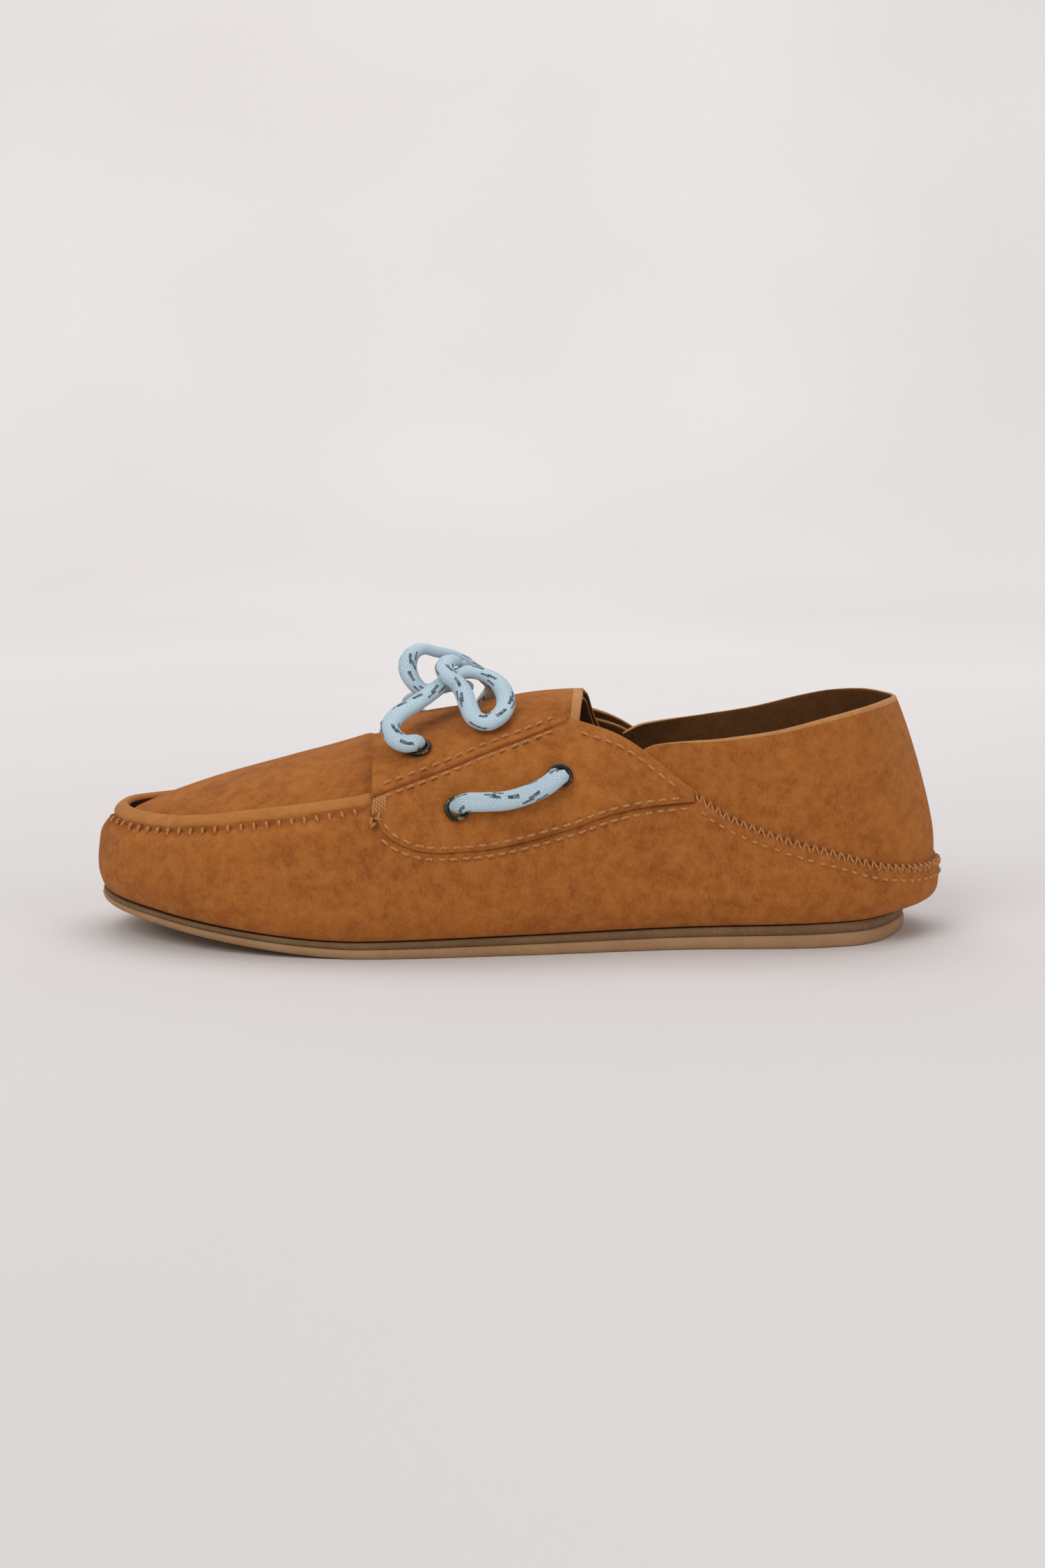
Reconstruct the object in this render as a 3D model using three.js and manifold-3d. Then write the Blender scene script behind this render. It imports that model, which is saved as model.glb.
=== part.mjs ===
// A laced moccasin, left shoe: rubber sole, suede upper with a raised toe seam, tongue, eyelets,
// braided laces, and a soft heel quarter that can be trodden down.
// Millimetres. +Z is up, -X is the toe, +X the heel, -Y the outer (lateral) side.
// The origin is on the ground below the middle of the shoe.
import * as THREE from 'three';
import { mergeVertices } from 'three/addons/utils/BufferGeometryUtils.js';
import Module from 'manifold-3d';

// ---- driving dimensions ----
const HALF_LENGTH = 125;
const TOE_TIP_SHIFT = 5;
const LEATHER = 1.5;
const OVERLAY = 1.4;
const GAP = 0.3;
const TOE_SPRING = 10;
const SPRING_START_X = -45;
const SOLE_AT_TOE = 3.2;
const SOLE_AT_HEEL = 7.4;
const OUTSOLE_SHARE = 0.58;
const SECTION_POWER = 2.3;
const COLLAR_BACK_HEIGHT = 70.3;
const QUARTER_LEATHER = 1.2;
const QUARTER_CLEARANCE = 1;
const SEAM_OVERLAP = 7;
const LACE_RADIUS = 1.4;
const EYELET_HOLE_RADIUS = 2.3;
const EYELET_BARREL_RADIUS = 2.8;
const EYELET_FLANGE_RADIUS = 3.5;
const EYELET_FLANGE_THICKNESS = 0.7;
const PUNCH_RADIUS = EYELET_BARREL_RADIUS + GAP;
const CLEARANCE_RADIUS = EYELET_FLANGE_RADIUS + 2 * GAP;

// Width of the upper at its widest height, as g in y = g * sin(angle), every 22.5 degrees
// from the toe (0) to the heel (180).
const WIDTH_LATERAL = [61, 59.5, 56.5, 51.3, 42.5, 38.5, 47.5, 54.5, 55];
const WIDTH_MEDIAL = [61, 55, 54, 48.6, 38, 33, 45.5, 54, 55];

// Heights along the shoe, as [x, z] pairs joined by a smooth curve.
const WIDEST_HEIGHT = [[-125, 20.7], [-90, 18.5], [-40, 16.4], [60, 16.9], [125, 20]];
const CROWN_HEIGHT = [[-125, 45.8], [-100, 46.3], [-80, 48.5], [-60, 52.9], [-41, 58.4], [-20, 63.4],
  [0, 67.6], [20, 69.5], [60, 70.9]];
const LIP_HEIGHT = [[-125, 37.6], [-112, 37.2], [-98, 37.8], [-80, 40], [-60, 42.7], [-41, 45.8]];
const PLUG_RIDGE = [[-120, 32.6], [-110, 37.4], [-100, 41.4], [-86, 46], [-67, 51], [-52, 54.9],
  [-40.7, 58.4]];
const STAY_LOW = [[-41, 44.2], [-30, 47.9], [-19, 51.7], [-10, 55], [-1, 58], [5, 60], [11, 62.1],
  [14, 63.2]];
const SADDLE_LOW = [[-40, 39.2], [-37.5, 35.4], [-33, 32.5], [-26, 30.5], [-15, 30.5], [-5, 31.6], [14, 36],
  [24, 39.2], [36, 41.6], [49, 43.1]];
const SADDLE_HIGH = [[-40, 49.1], [-28, 53], [-19, 56.2], [-8, 59.7], [2, 62.5], [9, 64], [14, 64.2],
  [31, 58.9], [49, 46.1]];
const VAMP_HIGH = [[-41, 44.7], [-30, 47.5], [-19, 51], [-10, 54.3], [-1, 57.2], [11, 61.3], [16, 61.7],
  [31, 57.6], [45, 47.7], [50, 44.1], [58, 38.7], [68, 34.3], [79, 30.5], [90, 27.3], [101, 23.7],
  [114, 21.4], [125, 21]];
const COLLAR_HEIGHT = [[31, 55.4], [38, 59.1], [57, 60.7], [72, 62.8], [86, 66], [97, 68.2], [111, 69.9],
  [125, 70.3]];

// Half widths of the tongue and of the throat between the eyestays, as [x, y].
const TONGUE_HALF_WIDTH = [[-41, 16.5], [-28, 18.5], [-10, 21], [0, 23], [15, 25.5], [30, 26.5]];
const THROAT_HALF_WIDTH = [[-41, 11], [-28, 13], [-8, 17], [14, 19]];
const TONGUE_FRONT_X = -40.2;
const PLUG_REAR_X = -40.7;
const TONGUE_REAR_X = { lateral: 15, crown: 19, medial: 28 };
const TONGUE_DROP = 3.9;
const STAY_FRONT_X = -41;
const STAY_TIP_X = 13.6;
const SADDLE_FRONT_X = -40;
const SADDLE_REAR_X = 49;
const QUARTER_FRONT_X = 32;

// Layers over and under the last, as the lowest and highest distance from it.
const TONGUE_OUTER_LAYER = [GAP, GAP + 1.3];
const TONGUE_LINING_LAYER = [-1.4, -0.2];
const SADDLE_LAYER = [GAP, GAP + OVERLAY];
const EYESTAY_LAYER = [2 * GAP + OVERLAY - 0.1, 2 * GAP + 2 * OVERLAY - 0.1];

// Layers under the foot: clearance inside the edge of the sole, then the heights of the two faces above it.
const BOTTOM_LAYERS = {
  insole_board: { clearance: 3.4, from: GAP, to: 1.8 },
  footbed: { clearance: 3.2, from: 2.1, to: 4.6 },
  sock_lining: { clearance: 3.2, from: 4.9, to: 5.9 },
};
const PLATE_END = 0.025;
const ROUND_STEPS = 34;

// Eyelet centres as [x, z] on the surface, the same on both sides.
const EYELETS = {
  front: { at: [-28, 55.2], stack: OVERLAY, layer: 3.3 },
  side_front: { at: [-17.6, 41.6], stack: OVERLAY + GAP + LEATHER, layer: 1.7 },
  side_rear: { at: [11, 49.7], stack: OVERLAY + GAP + LEATHER, layer: 1.7 },
};

// Lace routes, as points [x, y, z]. Each bow lace runs from inside its front eyelet to its aglet,
// and each side lace from the same eyelet, out and in through the two side eyelets, to its end inside.
const BOW_LATERAL = [
  [-28.3, -28.0, 57.5], [-28.8, -29.6, 59.2], [-32.1, -31.2, 59.3], [-34.9, -31.2, 60.7],
  [-36.4, -29.5, 63.6], [-34.5, -26.0, 66.5], [-30.4, -22.0, 68.8], [-26.3, -18.5, 71.2],
  [-22.6, -15.5, 73.7], [-19.0, -13.0, 76.0], [-14.7, -11.5, 77.3], [-9.8, -12.5, 76.5],
  [-5.6, -16.0, 74.1], [-3.8, -20.0, 69.9], [-5.3, -24.8, 66.6], [-9.3, -26.8, 64.6],
  [-12.7, -25.8, 65.8], [-14.6, -22.8, 69.2], [-15.8, -20.0, 72.2], [-17.5, -18.2, 74.6],
  [-19.8, -17.6, 76.4], [-21.4, -15.0, 78.4], [-20.3, -11.0, 80.3], [-17.9, -8.1, 80.5],
];
const BOW_MEDIAL = [
  [-28.2, 27.3, 57.5], [-28.7, 28.9, 59.2], [-30.9, 30.4, 60.4], [-32.8, 29.2, 62.2],
  [-32.4, 25.4, 64.4], [-30.2, 20.8, 66.4], [-26.6, 16.0, 68.4], [-22.6, 11.2, 70.2],
  [-18.8, 5.8, 71.2], [-16.2, 0.6, 71.2], [-16.0, -5.0, 72.8], [-19.1, -8.5, 73.9],
  [-23.0, -11.0, 72.8], [-27.2, -12.0, 72.0], [-30.5, -11.0, 74.6], [-32.1, -9.0, 78.5],
  [-30.8, -7.0, 82.1], [-27.7, -5.5, 83.5], [-24.3, -4.5, 82.6], [-20.5, -3.5, 81.7],
  [-16.5, -2.2, 80.1], [-13.0, -0.5, 77.3], [-9.6, 4.2, 74.2], [-8.0, 9.2, 72.3],
  [-7.2, 14.2, 70.4], [-7.4, 18.8, 68.6], [-8.6, 23.2, 66.2], [-10.4, 27.0, 63.4],
];
const SIDE_LATERAL = [
  [-28.2, -27.6, 56.9], [-27.7, -25.7, 53.6], [-25.8, -27.3, 49.4], [-22.4, -31.2, 44.0],
  [-18.8, -34.2, 39.9], [-17.7, -37.4, 40.5], [-17.4, -41.4, 42.8], [-15.2, -43.6, 44.5],
  [-10.0, -42.9, 44.6], [-4.0, -41.4, 44.7], [2.0, -40.9, 46.3], [7.2, -39.8, 48.6],
  [10.6, -38.3, 51.0], [11.3, -35.4, 50.4], [10.8, -30.8, 48.2], [10.8, -28.4, 45.3], [12.6, -28.2, 42.5],
];
const SIDE_MEDIAL = [
  [-28.1, 26.9, 56.9], [-27.8, 24.8, 53.6], [-25.8, 26.1, 49.4], [-22.4, 29.4, 44.0],
  [-19.0, 32.2, 39.9], [-17.8, 35.6, 40.7], [-17.2, 39.6, 42.8], [-14.9, 41.8, 44.3],
  [-10.0, 40.6, 44.6], [-4.0, 38.9, 44.7], [2.0, 38.1, 46.3], [7.3, 36.7, 48.6],
  [10.8, 35.2, 51.0], [11.4, 32.2, 50.4], [10.8, 27.8, 48.2], [10.8, 25.6, 45.3], [12.6, 25.2, 42.5],
];
const AGLET_LATERAL = [[-17.1, -7.2, 79.8], [-15.3, -6.2, 77.8], [-13.6, -5.4, 75.2]];
const AGLET_MEDIAL = [[-10.5, 27.3, 63.2], [-12.6, 30.6, 59.8], [-14.6, 33.4, 56.7]];
const BOW_STEPS = 28;
const SIDE_STEPS = 15;

// ---- small mathematics ----
const clamp01 = (t) => Math.min(1, Math.max(0, t));
const linear = (a, b, t) => a + (b - a) * t;

function smooth(a, b, x) {
  const t = clamp01((x - a) / (b - a));
  return t * t * (3 - 2 * t);
}

// Smooth curve through [x, value] pairs: cubic Hermite, level beyond both ends.
function along(pairs, x) {
  const last = pairs.length - 1;
  if (x <= pairs[0][0]) return pairs[0][1];
  if (x >= pairs[last][0]) return pairs[last][1];
  let i = 0;
  while (pairs[i + 1][0] < x) i += 1;
  const slope = (k) => {
    const a = pairs[Math.max(0, k - 1)];
    const b = pairs[Math.min(last, k + 1)];
    return (b[1] - a[1]) / (b[0] - a[0]);
  };
  const h = pairs[i + 1][0] - pairs[i][0];
  const t = (x - pairs[i][0]) / h;
  const t2 = t * t;
  const t3 = t2 * t;
  return (2 * t3 - 3 * t2 + 1) * pairs[i][1] + (t3 - 2 * t2 + t) * h * slope(i)
    + (3 * t2 - 2 * t3) * pairs[i + 1][1] + (t3 - t2) * h * slope(i + 1);
}

// ---- the last: the form that every piece of the upper lies on ----
const angleAt = (x) => Math.acos(Math.min(1, Math.max(-1, -x / HALF_LENGTH)));
const stationX = (angle) => -HALF_LENGTH * Math.cos(angle);

function widthFactor(side, angle) {
  const table = side < 0 ? WIDTH_LATERAL : WIDTH_MEDIAL;
  const pairs = table.map((g, i) => [i * Math.PI / 8, g]);
  return along(pairs, angle);
}

// Plan of the widest line; side is -1 for lateral and 1 for medial.
function outline(side, angle) {
  const centre = TOE_TIP_SHIFT * ((1 + Math.cos(angle)) / 2) ** 3;
  return [stationX(angle), centre + side * widthFactor(side, angle) * Math.sin(angle)];
}

// Horizontal direction out of the shoe: straight sideways along the body, fanning round both ends.
function outward(side, angle) {
  const step = 0.01;
  const a = outline(side, Math.max(0, angle - step));
  const b = outline(side, Math.min(Math.PI, angle + step));
  const turn = smooth(60, 95, Math.abs(stationX(angle)));
  const atEnd = angle < step || angle > Math.PI - step;
  const nx = atEnd ? Math.sign(stationX(angle)) : -side * (b[1] - a[1]);
  const ny = atEnd ? 0 : side * (b[0] - a[0]);
  const length = Math.hypot(nx * turn, ny) || 1;
  return [nx * turn / length, ny / length];
}

const springAt = (x) => TOE_SPRING * clamp01((SPRING_START_X - x) / 80) ** 1.5;
const soleThickness = (x) => SOLE_AT_TOE + (SOLE_AT_HEEL - SOLE_AT_TOE) * clamp01((x + 125) / 238);
const soleTop = (x) => springAt(x) + soleThickness(x);
const soleInset = (x) => 3.2 - 1.8 * smooth(-104, -123, x) + 6.8 * smooth(96, 124, x);

const halfWidth = (side, x) => Math.abs(outline(side, angleAt(x))[1]);

// How far the wall stands inside the widest line at height z.
function wallInset(side, x, z) {
  const widest = along(WIDEST_HEIGHT, x);
  const feather = soleInset(x) + 0.6;
  const fullness = 2 + 4 * smooth(80, 120, x);
  if (z < widest) return feather * ((widest - z) / (widest - soleTop(x))) ** fullness;
  const crown = along(CROWN_HEIGHT, x);
  const scale = x < -60 ? 44 : halfWidth(side, x);
  const rise = Math.min(0.985, (z - widest) / (crown - widest));
  const arched = scale * (1 - (1 - rise ** SECTION_POWER) ** (1 / SECTION_POWER));
  const lean = 3.5 + 9 * smooth(92, 125, x);
  const upright = lean * Math.max(0, (z - widest) / (COLLAR_BACK_HEIGHT - widest)) ** 1.8;
  const back = smooth(25, 60, x);
  return arched * (1 - back) + upright * back;
}

// A point of the wall at a station angle and a height.
function wall(side, angle, z) {
  const [x, y] = outline(side, angle);
  const [nx, ny] = outward(side, angle);
  const inset = wallInset(side, x, z);
  return new THREE.Vector3(x - nx * inset, y - ny * inset, z);
}

// Height of the arched top over the instep at (x, y).
function archHeight(x, y) {
  const side = y < 0 ? -1 : 1;
  const share = Math.min(0.995, Math.abs(y) / halfWidth(side, x));
  const widest = along(WIDEST_HEIGHT, x);
  const crown = along(CROWN_HEIGHT, x);
  return widest + (crown - widest) * (1 - share ** SECTION_POWER) ** (1 / SECTION_POWER);
}

// ---- closed sheets of leather from a grid of points ----
function gridNormals(grid, closed) {
  const rows = grid.length;
  const columns = grid[0].length;
  return grid.map((row, i) => row.map((point, j) => {
    const before = closed ? grid[(i + rows - 1) % rows] : grid[Math.max(0, i - 1)];
    const after = closed ? grid[(i + 1) % rows] : grid[Math.min(rows - 1, i + 1)];
    const alongRow = new THREE.Vector3().subVectors(after[j], before[j]);
    const low = row[Math.max(0, j - 1)];
    const high = row[Math.min(columns - 1, j + 1)];
    const acrossRow = new THREE.Vector3().subVectors(high, low);
    return alongRow.cross(acrossRow).normalize();
  }));
}

// Thick sheet over a grid of surface points, from offset `inner` to offset `outer` along the normal.
// A closed grid joins its last row to its first.
function sheet(grid, inner, outer, closed = false) {
  const rows = grid.length;
  const columns = grid[0].length;
  const normals = gridNormals(grid, closed);
  const positions = [];
  for (const offset of [outer, inner]) {
    grid.forEach((row, i) => row.forEach((point, j) => {
      const shift = typeof offset === 'function' ? offset(point) : offset;
      const p = point.clone().addScaledVector(normals[i][j], shift);
      positions.push(p.x, p.y, p.z);
    }));
  }
  const count = rows * columns;
  const at = (i, j, layer) => layer * count + (i % rows) * columns + j;
  const faces = [];
  const quad = (a, b, c, d) => faces.push(a, b, c, a, c, d);
  const spans = closed ? rows : rows - 1;
  for (let i = 0; i < spans; i += 1) {
    for (let j = 0; j < columns - 1; j += 1) {
      quad(at(i, j, 0), at(i + 1, j, 0), at(i + 1, j + 1, 0), at(i, j + 1, 0));
      quad(at(i, j, 1), at(i, j + 1, 1), at(i + 1, j + 1, 1), at(i + 1, j, 1));
    }
    const top = columns - 1;
    quad(at(i, 0, 0), at(i, 0, 1), at(i + 1, 0, 1), at(i + 1, 0, 0));
    quad(at(i, top, 0), at(i + 1, top, 0), at(i + 1, top, 1), at(i, top, 1));
  }
  if (!closed) {
    const end = rows - 1;
    for (let j = 0; j < columns - 1; j += 1) {
      quad(at(0, j, 0), at(0, j + 1, 0), at(0, j + 1, 1), at(0, j, 1));
      quad(at(end, j, 0), at(end, j, 1), at(end, j + 1, 1), at(end, j + 1, 0));
    }
  }
  return closedGeometry(positions, faces);
}

// Geometry whose faces point outwards, whichever way the grid ran.
function closedGeometry(positions, faces) {
  const corner = (k) => new THREE.Vector3().fromArray(positions, 3 * k);
  let volume = 0;
  for (let f = 0; f < faces.length; f += 3) {
    volume += corner(faces[f]).dot(corner(faces[f + 1]).cross(corner(faces[f + 2])));
  }
  const index = [];
  for (let f = 0; f < faces.length; f += 3) {
    const [a, b, c] = [faces[f], faces[f + 1], faces[f + 2]];
    index.push(a, volume > 0 ? b : c, volume > 0 ? c : b);
  }
  const geometry = new THREE.BufferGeometry();
  geometry.setAttribute('position', new THREE.Float32BufferAttribute(positions, 3));
  geometry.setIndex(index);
  return geometry;
}

// Flat layer of the bottom: the outline moved in by `inset`, between two heights. The share
// PLATE_END of its half turn is cut off square at each end.
function plate(inset, bottom, top, steps = 26) {
  const grid = [];
  for (let i = 0; i <= steps; i += 1) {
    const angle = Math.PI * linear(PLATE_END, 1 - PLATE_END, i / steps);
    const edge = [-1, 1].map((side) => {
      const [x, y] = outline(side, angle);
      const [nx, ny] = outward(side, angle);
      const d = inset(x);
      return [x - nx * d, y - ny * d];
    });
    grid.push(edge);
  }
  const positions = [];
  for (const height of [bottom, top]) {
    for (const [left, right] of grid) {
      positions.push(left[0], left[1], height(left[0]));
      positions.push(right[0], right[1], height(right[0]));
    }
  }
  const count = 2 * grid.length;
  const faces = [];
  const quad = (a, b, c, d) => faces.push(a, b, c, a, c, d);
  for (let i = 0; i < steps; i += 1) {
    const a = 2 * i;
    quad(a, a + 1, a + 3, a + 2);
    quad(count + a, count + a + 2, count + a + 3, count + a + 1);
    quad(a, a + 2, count + a + 2, count + a);
    quad(a + 1, count + a + 1, count + a + 3, a + 3);
  }
  const end = 2 * steps;
  quad(0, count, count + 1, 1);
  quad(end, end + 1, count + end + 1, count + end);
  return closedGeometry(positions, faces);
}

// ---- booleans ----
const wasm = await Module();
wasm.setup();

function toSolid(geometry) {
  const bare = geometry.clone();
  bare.deleteAttribute('normal');
  bare.deleteAttribute('uv');
  const merged = mergeVertices(bare, 1e-4);
  return new wasm.Manifold(new wasm.Mesh({
    numProp: 3,
    vertProperties: new Float32Array(merged.attributes.position.array),
    triVerts: new Uint32Array(merged.index.array),
  }));
}

function toGeometry(solid) {
  const mesh = solid.getMesh();
  const geometry = new THREE.BufferGeometry();
  geometry.setAttribute('position', new THREE.BufferAttribute(new Float32Array(mesh.vertProperties), 3));
  geometry.setIndex(Array.from(mesh.triVerts));
  return geometry;
}

// ---- sole and bottom layers ----
function outsoleGeometry() {
  return plate(soleInset, springAt, (x) => springAt(x) + soleThickness(x) * OUTSOLE_SHARE, 40);
}

function midsoleGeometry() {
  const bottom = (x) => springAt(x) + soleThickness(x) * OUTSOLE_SHARE + GAP;
  return plate((x) => soleInset(x) + 0.3, bottom, soleTop, 40);
}

function bottomLayer({ clearance, from, to }) {
  return plate((x) => soleInset(x) + clearance, (x) => soleTop(x) + from, (x) => soleTop(x) + to);
}

// ---- upper ----
function vampTop(x) {
  return x < STAY_FRONT_X ? along(LIP_HEIGHT, x) : along(VAMP_HIGH, x);
}

// Station angles packed closer round the toe and the heel.
const roundAngle = (t) => Math.PI * (t - 0.045 * Math.sin(2 * Math.PI * t));

function lowerVampGeometry() {
  const rows = 8;
  const loop = [];
  for (let i = 0; i < 2 * ROUND_STEPS; i += 1) {
    const side = i < ROUND_STEPS ? -1 : 1;
    const t = i < ROUND_STEPS ? i / ROUND_STEPS : (2 * ROUND_STEPS - i) / ROUND_STEPS;
    const angle = roundAngle(t);
    const x = stationX(angle);
    const low = soleTop(x) + GAP;
    const high = vampTop(x);
    const rib = [];
    for (let j = 0; j <= rows; j += 1) rib.push(wall(side, angle, linear(low, high, j / rows)));
    loop.push(rib);
  }
  return sheet(loop, -LEATHER, 0, true);
}

function plugGeometry() {
  const rows = 13;
  const columns = 12;
  const clearance = LEATHER + GAP + 0.1;
  const belowRim = 2.5;
  const first = 0.17;
  const last = angleAt(PLUG_REAR_X);
  const grid = [];
  for (let i = 0; i <= rows; i += 1) {
    const angle = linear(first, last, i / rows);
    const x = stationX(angle);
    const rim = along(LIP_HEIGHT, x);
    const edge = [-1, 1].map((side) => {
      const p = wall(side, angle, rim);
      const [nx, ny] = outward(side, angle);
      return new THREE.Vector3(p.x - nx * clearance, p.y - ny * clearance, rim);
    });
    const row = [];
    for (let j = 0; j <= columns; j += 1) {
      const a = j / columns;
      const p = new THREE.Vector3().lerpVectors(edge[0], edge[1], a);
      const low = rim - belowRim;
      const ridge = along(PLUG_RIDGE, p.x);
      const across = Math.abs(2 * a - 1);
      p.z = low + Math.max(0, ridge - low) * (1 - across ** SECTION_POWER);
      row.push(p);
    }
    grid.push(row);
  }
  return sheet(grid, -LEATHER, 0);
}

function saddleGeometry(side) {
  const steps = 22;
  const rows = 7;
  const grid = [];
  for (let i = 0; i <= steps; i += 1) {
    const x = linear(SADDLE_FRONT_X, SADDLE_REAR_X, i / steps);
    const low = along(SADDLE_LOW, x);
    const high = along(SADDLE_HIGH, x);
    const rib = [];
    for (let j = 0; j <= rows; j += 1) rib.push(wall(side, angleAt(x), linear(low, high, j / rows)));
    grid.push(rib);
  }
  const [inner, outer] = SADDLE_LAYER.map((distance) => -side * distance);
  return sheet(grid, inner, outer);
}

function eyestayGeometry(side) {
  const steps = 14;
  const rows = 6;
  const grid = [];
  for (let i = 0; i <= steps; i += 1) {
    const x = linear(STAY_FRONT_X, STAY_TIP_X, i / steps);
    const low = wall(side, angleAt(x), along(STAY_LOW, x)).y * side;
    const high = Math.min(along(THROAT_HALF_WIDTH, x), low - 0.8);
    const rib = [];
    for (let j = 0; j <= rows; j += 1) {
      const y = side * linear(low, high, j / rows);
      rib.push(new THREE.Vector3(x, y, archHeight(x, y)));
    }
    grid.push(rib);
  }
  const [inner, outer] = EYESTAY_LAYER.map((distance) => -side * distance);
  return sheet(grid, inner, outer);
}

// The tongue drops inside the toplines towards its rear corners.
function tongueDrop(point) {
  return TONGUE_DROP * smooth(-12, 5, point.x) * smooth(12, 20, Math.abs(point.y));
}

function tongueGeometry([inner, outer]) {
  const steps = 12;
  const columns = 12;
  const grid = [];
  for (let i = 0; i <= steps; i += 1) {
    const row = [];
    for (let j = 0; j <= columns; j += 1) {
      const a = linear(-1, 1, j / columns);
      const corner = a < 0 ? TONGUE_REAR_X.lateral : TONGUE_REAR_X.medial;
      const rear = linear(TONGUE_REAR_X.crown, corner, a * a);
      const x = linear(TONGUE_FRONT_X, rear, i / steps);
      const y = a * along(TONGUE_HALF_WIDTH, x);
      row.push(new THREE.Vector3(x, y, archHeight(x, y)));
    }
    grid.push(row);
  }
  return sheet(grid, (p) => inner - tongueDrop(p), (p) => outer - tongueDrop(p));
}

function heelQuarterGeometry() {
  const steps = 34;
  const rows = 7;
  const start = angleAt(QUARTER_FRONT_X);
  const grid = [];
  for (let i = 0; i <= steps; i += 1) {
    const t = i / steps;
    const side = t < 0.5 ? -1 : 1;
    const angle = t < 0.5 ? linear(start, Math.PI, 2 * t) : linear(Math.PI, start, 2 * t - 1);
    const x = stationX(angle);
    const high = along(COLLAR_HEIGHT, x);
    const low = Math.max(along(VAMP_HIGH, x) - SEAM_OVERLAP, soleTop(x) + 3);
    const rib = [];
    for (let j = 0; j <= rows; j += 1) rib.push(wall(side, angle, linear(low, high, j / rows)));
    grid.push(rib);
  }
  const outer = -LEATHER - QUARTER_CLEARANCE;
  return sheet(grid, outer - QUARTER_LEATHER, outer);
}

// ---- eyelets ----
function surfaceFrame(side, [x, z]) {
  const angle = angleAt(x);
  const step = 1;
  const p = wall(side, angle, z);
  const up = new THREE.Vector3().subVectors(wall(side, angle, z + step), wall(side, angle, z - step));
  const back = new THREE.Vector3().subVectors(
    wall(side, angleAt(x + step), z),
    wall(side, angleAt(x - step), z),
  );
  const normal = side < 0 ? back.cross(up).normalize() : up.cross(back).normalize();
  return { point: p, normal };
}

function eyeletGeometry(stack) {
  const top = GAP + EYELET_FLANGE_THICKNESS;
  const bottom = -stack - 2 * GAP - EYELET_FLANGE_THICKNESS;
  const roll = EYELET_FLANGE_RADIUS - 0.3;
  const profile = [
    [EYELET_HOLE_RADIUS, bottom + 0.2],
    [roll, bottom],
    [roll, bottom + EYELET_FLANGE_THICKNESS],
    [EYELET_BARREL_RADIUS, bottom + EYELET_FLANGE_THICKNESS],
    [EYELET_BARREL_RADIUS, GAP],
    [EYELET_FLANGE_RADIUS, GAP],
    [EYELET_FLANGE_RADIUS - 0.4, top],
    [EYELET_HOLE_RADIUS + 0.2, top],
    [EYELET_HOLE_RADIUS, bottom + 0.2],
  ].map(([r, h]) => new THREE.Vector2(r, h));
  const geometry = new THREE.LatheGeometry(profile, 14);
  geometry.rotateX(Math.PI / 2);
  return geometry;
}

function holePunch(side, eyelet, radius) {
  const { point, normal } = surfaceFrame(side, eyelet.at);
  const cylinder = new THREE.CylinderGeometry(radius, radius, 13, 14);
  cylinder.rotateX(Math.PI / 2);
  cylinder.applyQuaternion(new THREE.Quaternion().setFromUnitVectors(new THREE.Vector3(0, 0, 1), normal));
  cylinder.translate(point.x, point.y, point.z);
  return toSolid(cylinder);
}

function punched(geometry, sides, names, radius = PUNCH_RADIUS) {
  let solid = toSolid(geometry);
  for (const side of sides) {
    for (const name of names) solid = solid.subtract(holePunch(side, EYELETS[name], radius));
  }
  return toGeometry(solid);
}

// ---- laces ----
function cord(points, radius, steps) {
  const path = new THREE.CatmullRomCurve3(points.map((p) => new THREE.Vector3(...p)), false, 'centripetal');
  const corners = 8;
  const section = new THREE.Shape();
  for (let k = 0; k < corners; k += 1) {
    const turn = 2 * Math.PI * k / corners;
    const [u, v] = [radius * Math.cos(turn), radius * Math.sin(turn)];
    if (k === 0) section.moveTo(u, v);
    else section.lineTo(u, v);
  }
  return new THREE.ExtrudeGeometry(section, { steps, extrudePath: path, bevelEnabled: false });
}

// ---- build ----
const suede = { color: 0xa05a26, roughness: 0.95, metalness: 0 };
const innerSuede = { color: 0x6b3f1c, roughness: 0.95, metalness: 0 };
const finishes = {
  outsole: { color: 0xa5875f, roughness: 0.7, metalness: 0 },
  midsole: { color: 0x826941, roughness: 0.75, metalness: 0 },
  insole_board: { color: 0x8a7355, roughness: 0.9, metalness: 0 },
  footbed: { color: 0xd9cdb4, roughness: 0.95, metalness: 0 },
  sock_lining: innerSuede,
  eyelet: { color: 0x3d3f40, roughness: 0.35, metalness: 1 },
  lace: { color: 0xbed7e6, roughness: 0.9, metalness: 0 },
  aglet: { color: 0xa9c6d8, roughness: 0.3, metalness: 0 },
};

const shoe = new THREE.Group();

function addPiece(name, geometry, finish) {
  geometry.deleteAttribute('normal');
  geometry.deleteAttribute('uv');
  const mesh = new THREE.Mesh(geometry, new THREE.MeshStandardMaterial(finish));
  mesh.name = name;
  shoe.add(mesh);
  return mesh;
}

addPiece('outsole', outsoleGeometry(), finishes.outsole);
addPiece('midsole', midsoleGeometry(), finishes.midsole);
for (const [name, layer] of Object.entries(BOTTOM_LAYERS)) {
  addPiece(name, bottomLayer(layer), finishes[name]);
}
addPiece('lower_vamp', punched(lowerVampGeometry(), [-1, 1], ['side_front', 'side_rear']), suede);
addPiece('plug', plugGeometry(), suede);
addPiece('tongue_outer', tongueGeometry(TONGUE_OUTER_LAYER), suede);
addPiece('tongue_lining', tongueGeometry(TONGUE_LINING_LAYER), innerSuede);
addPiece('heel_quarter', heelQuarterGeometry(), suede);

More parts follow.
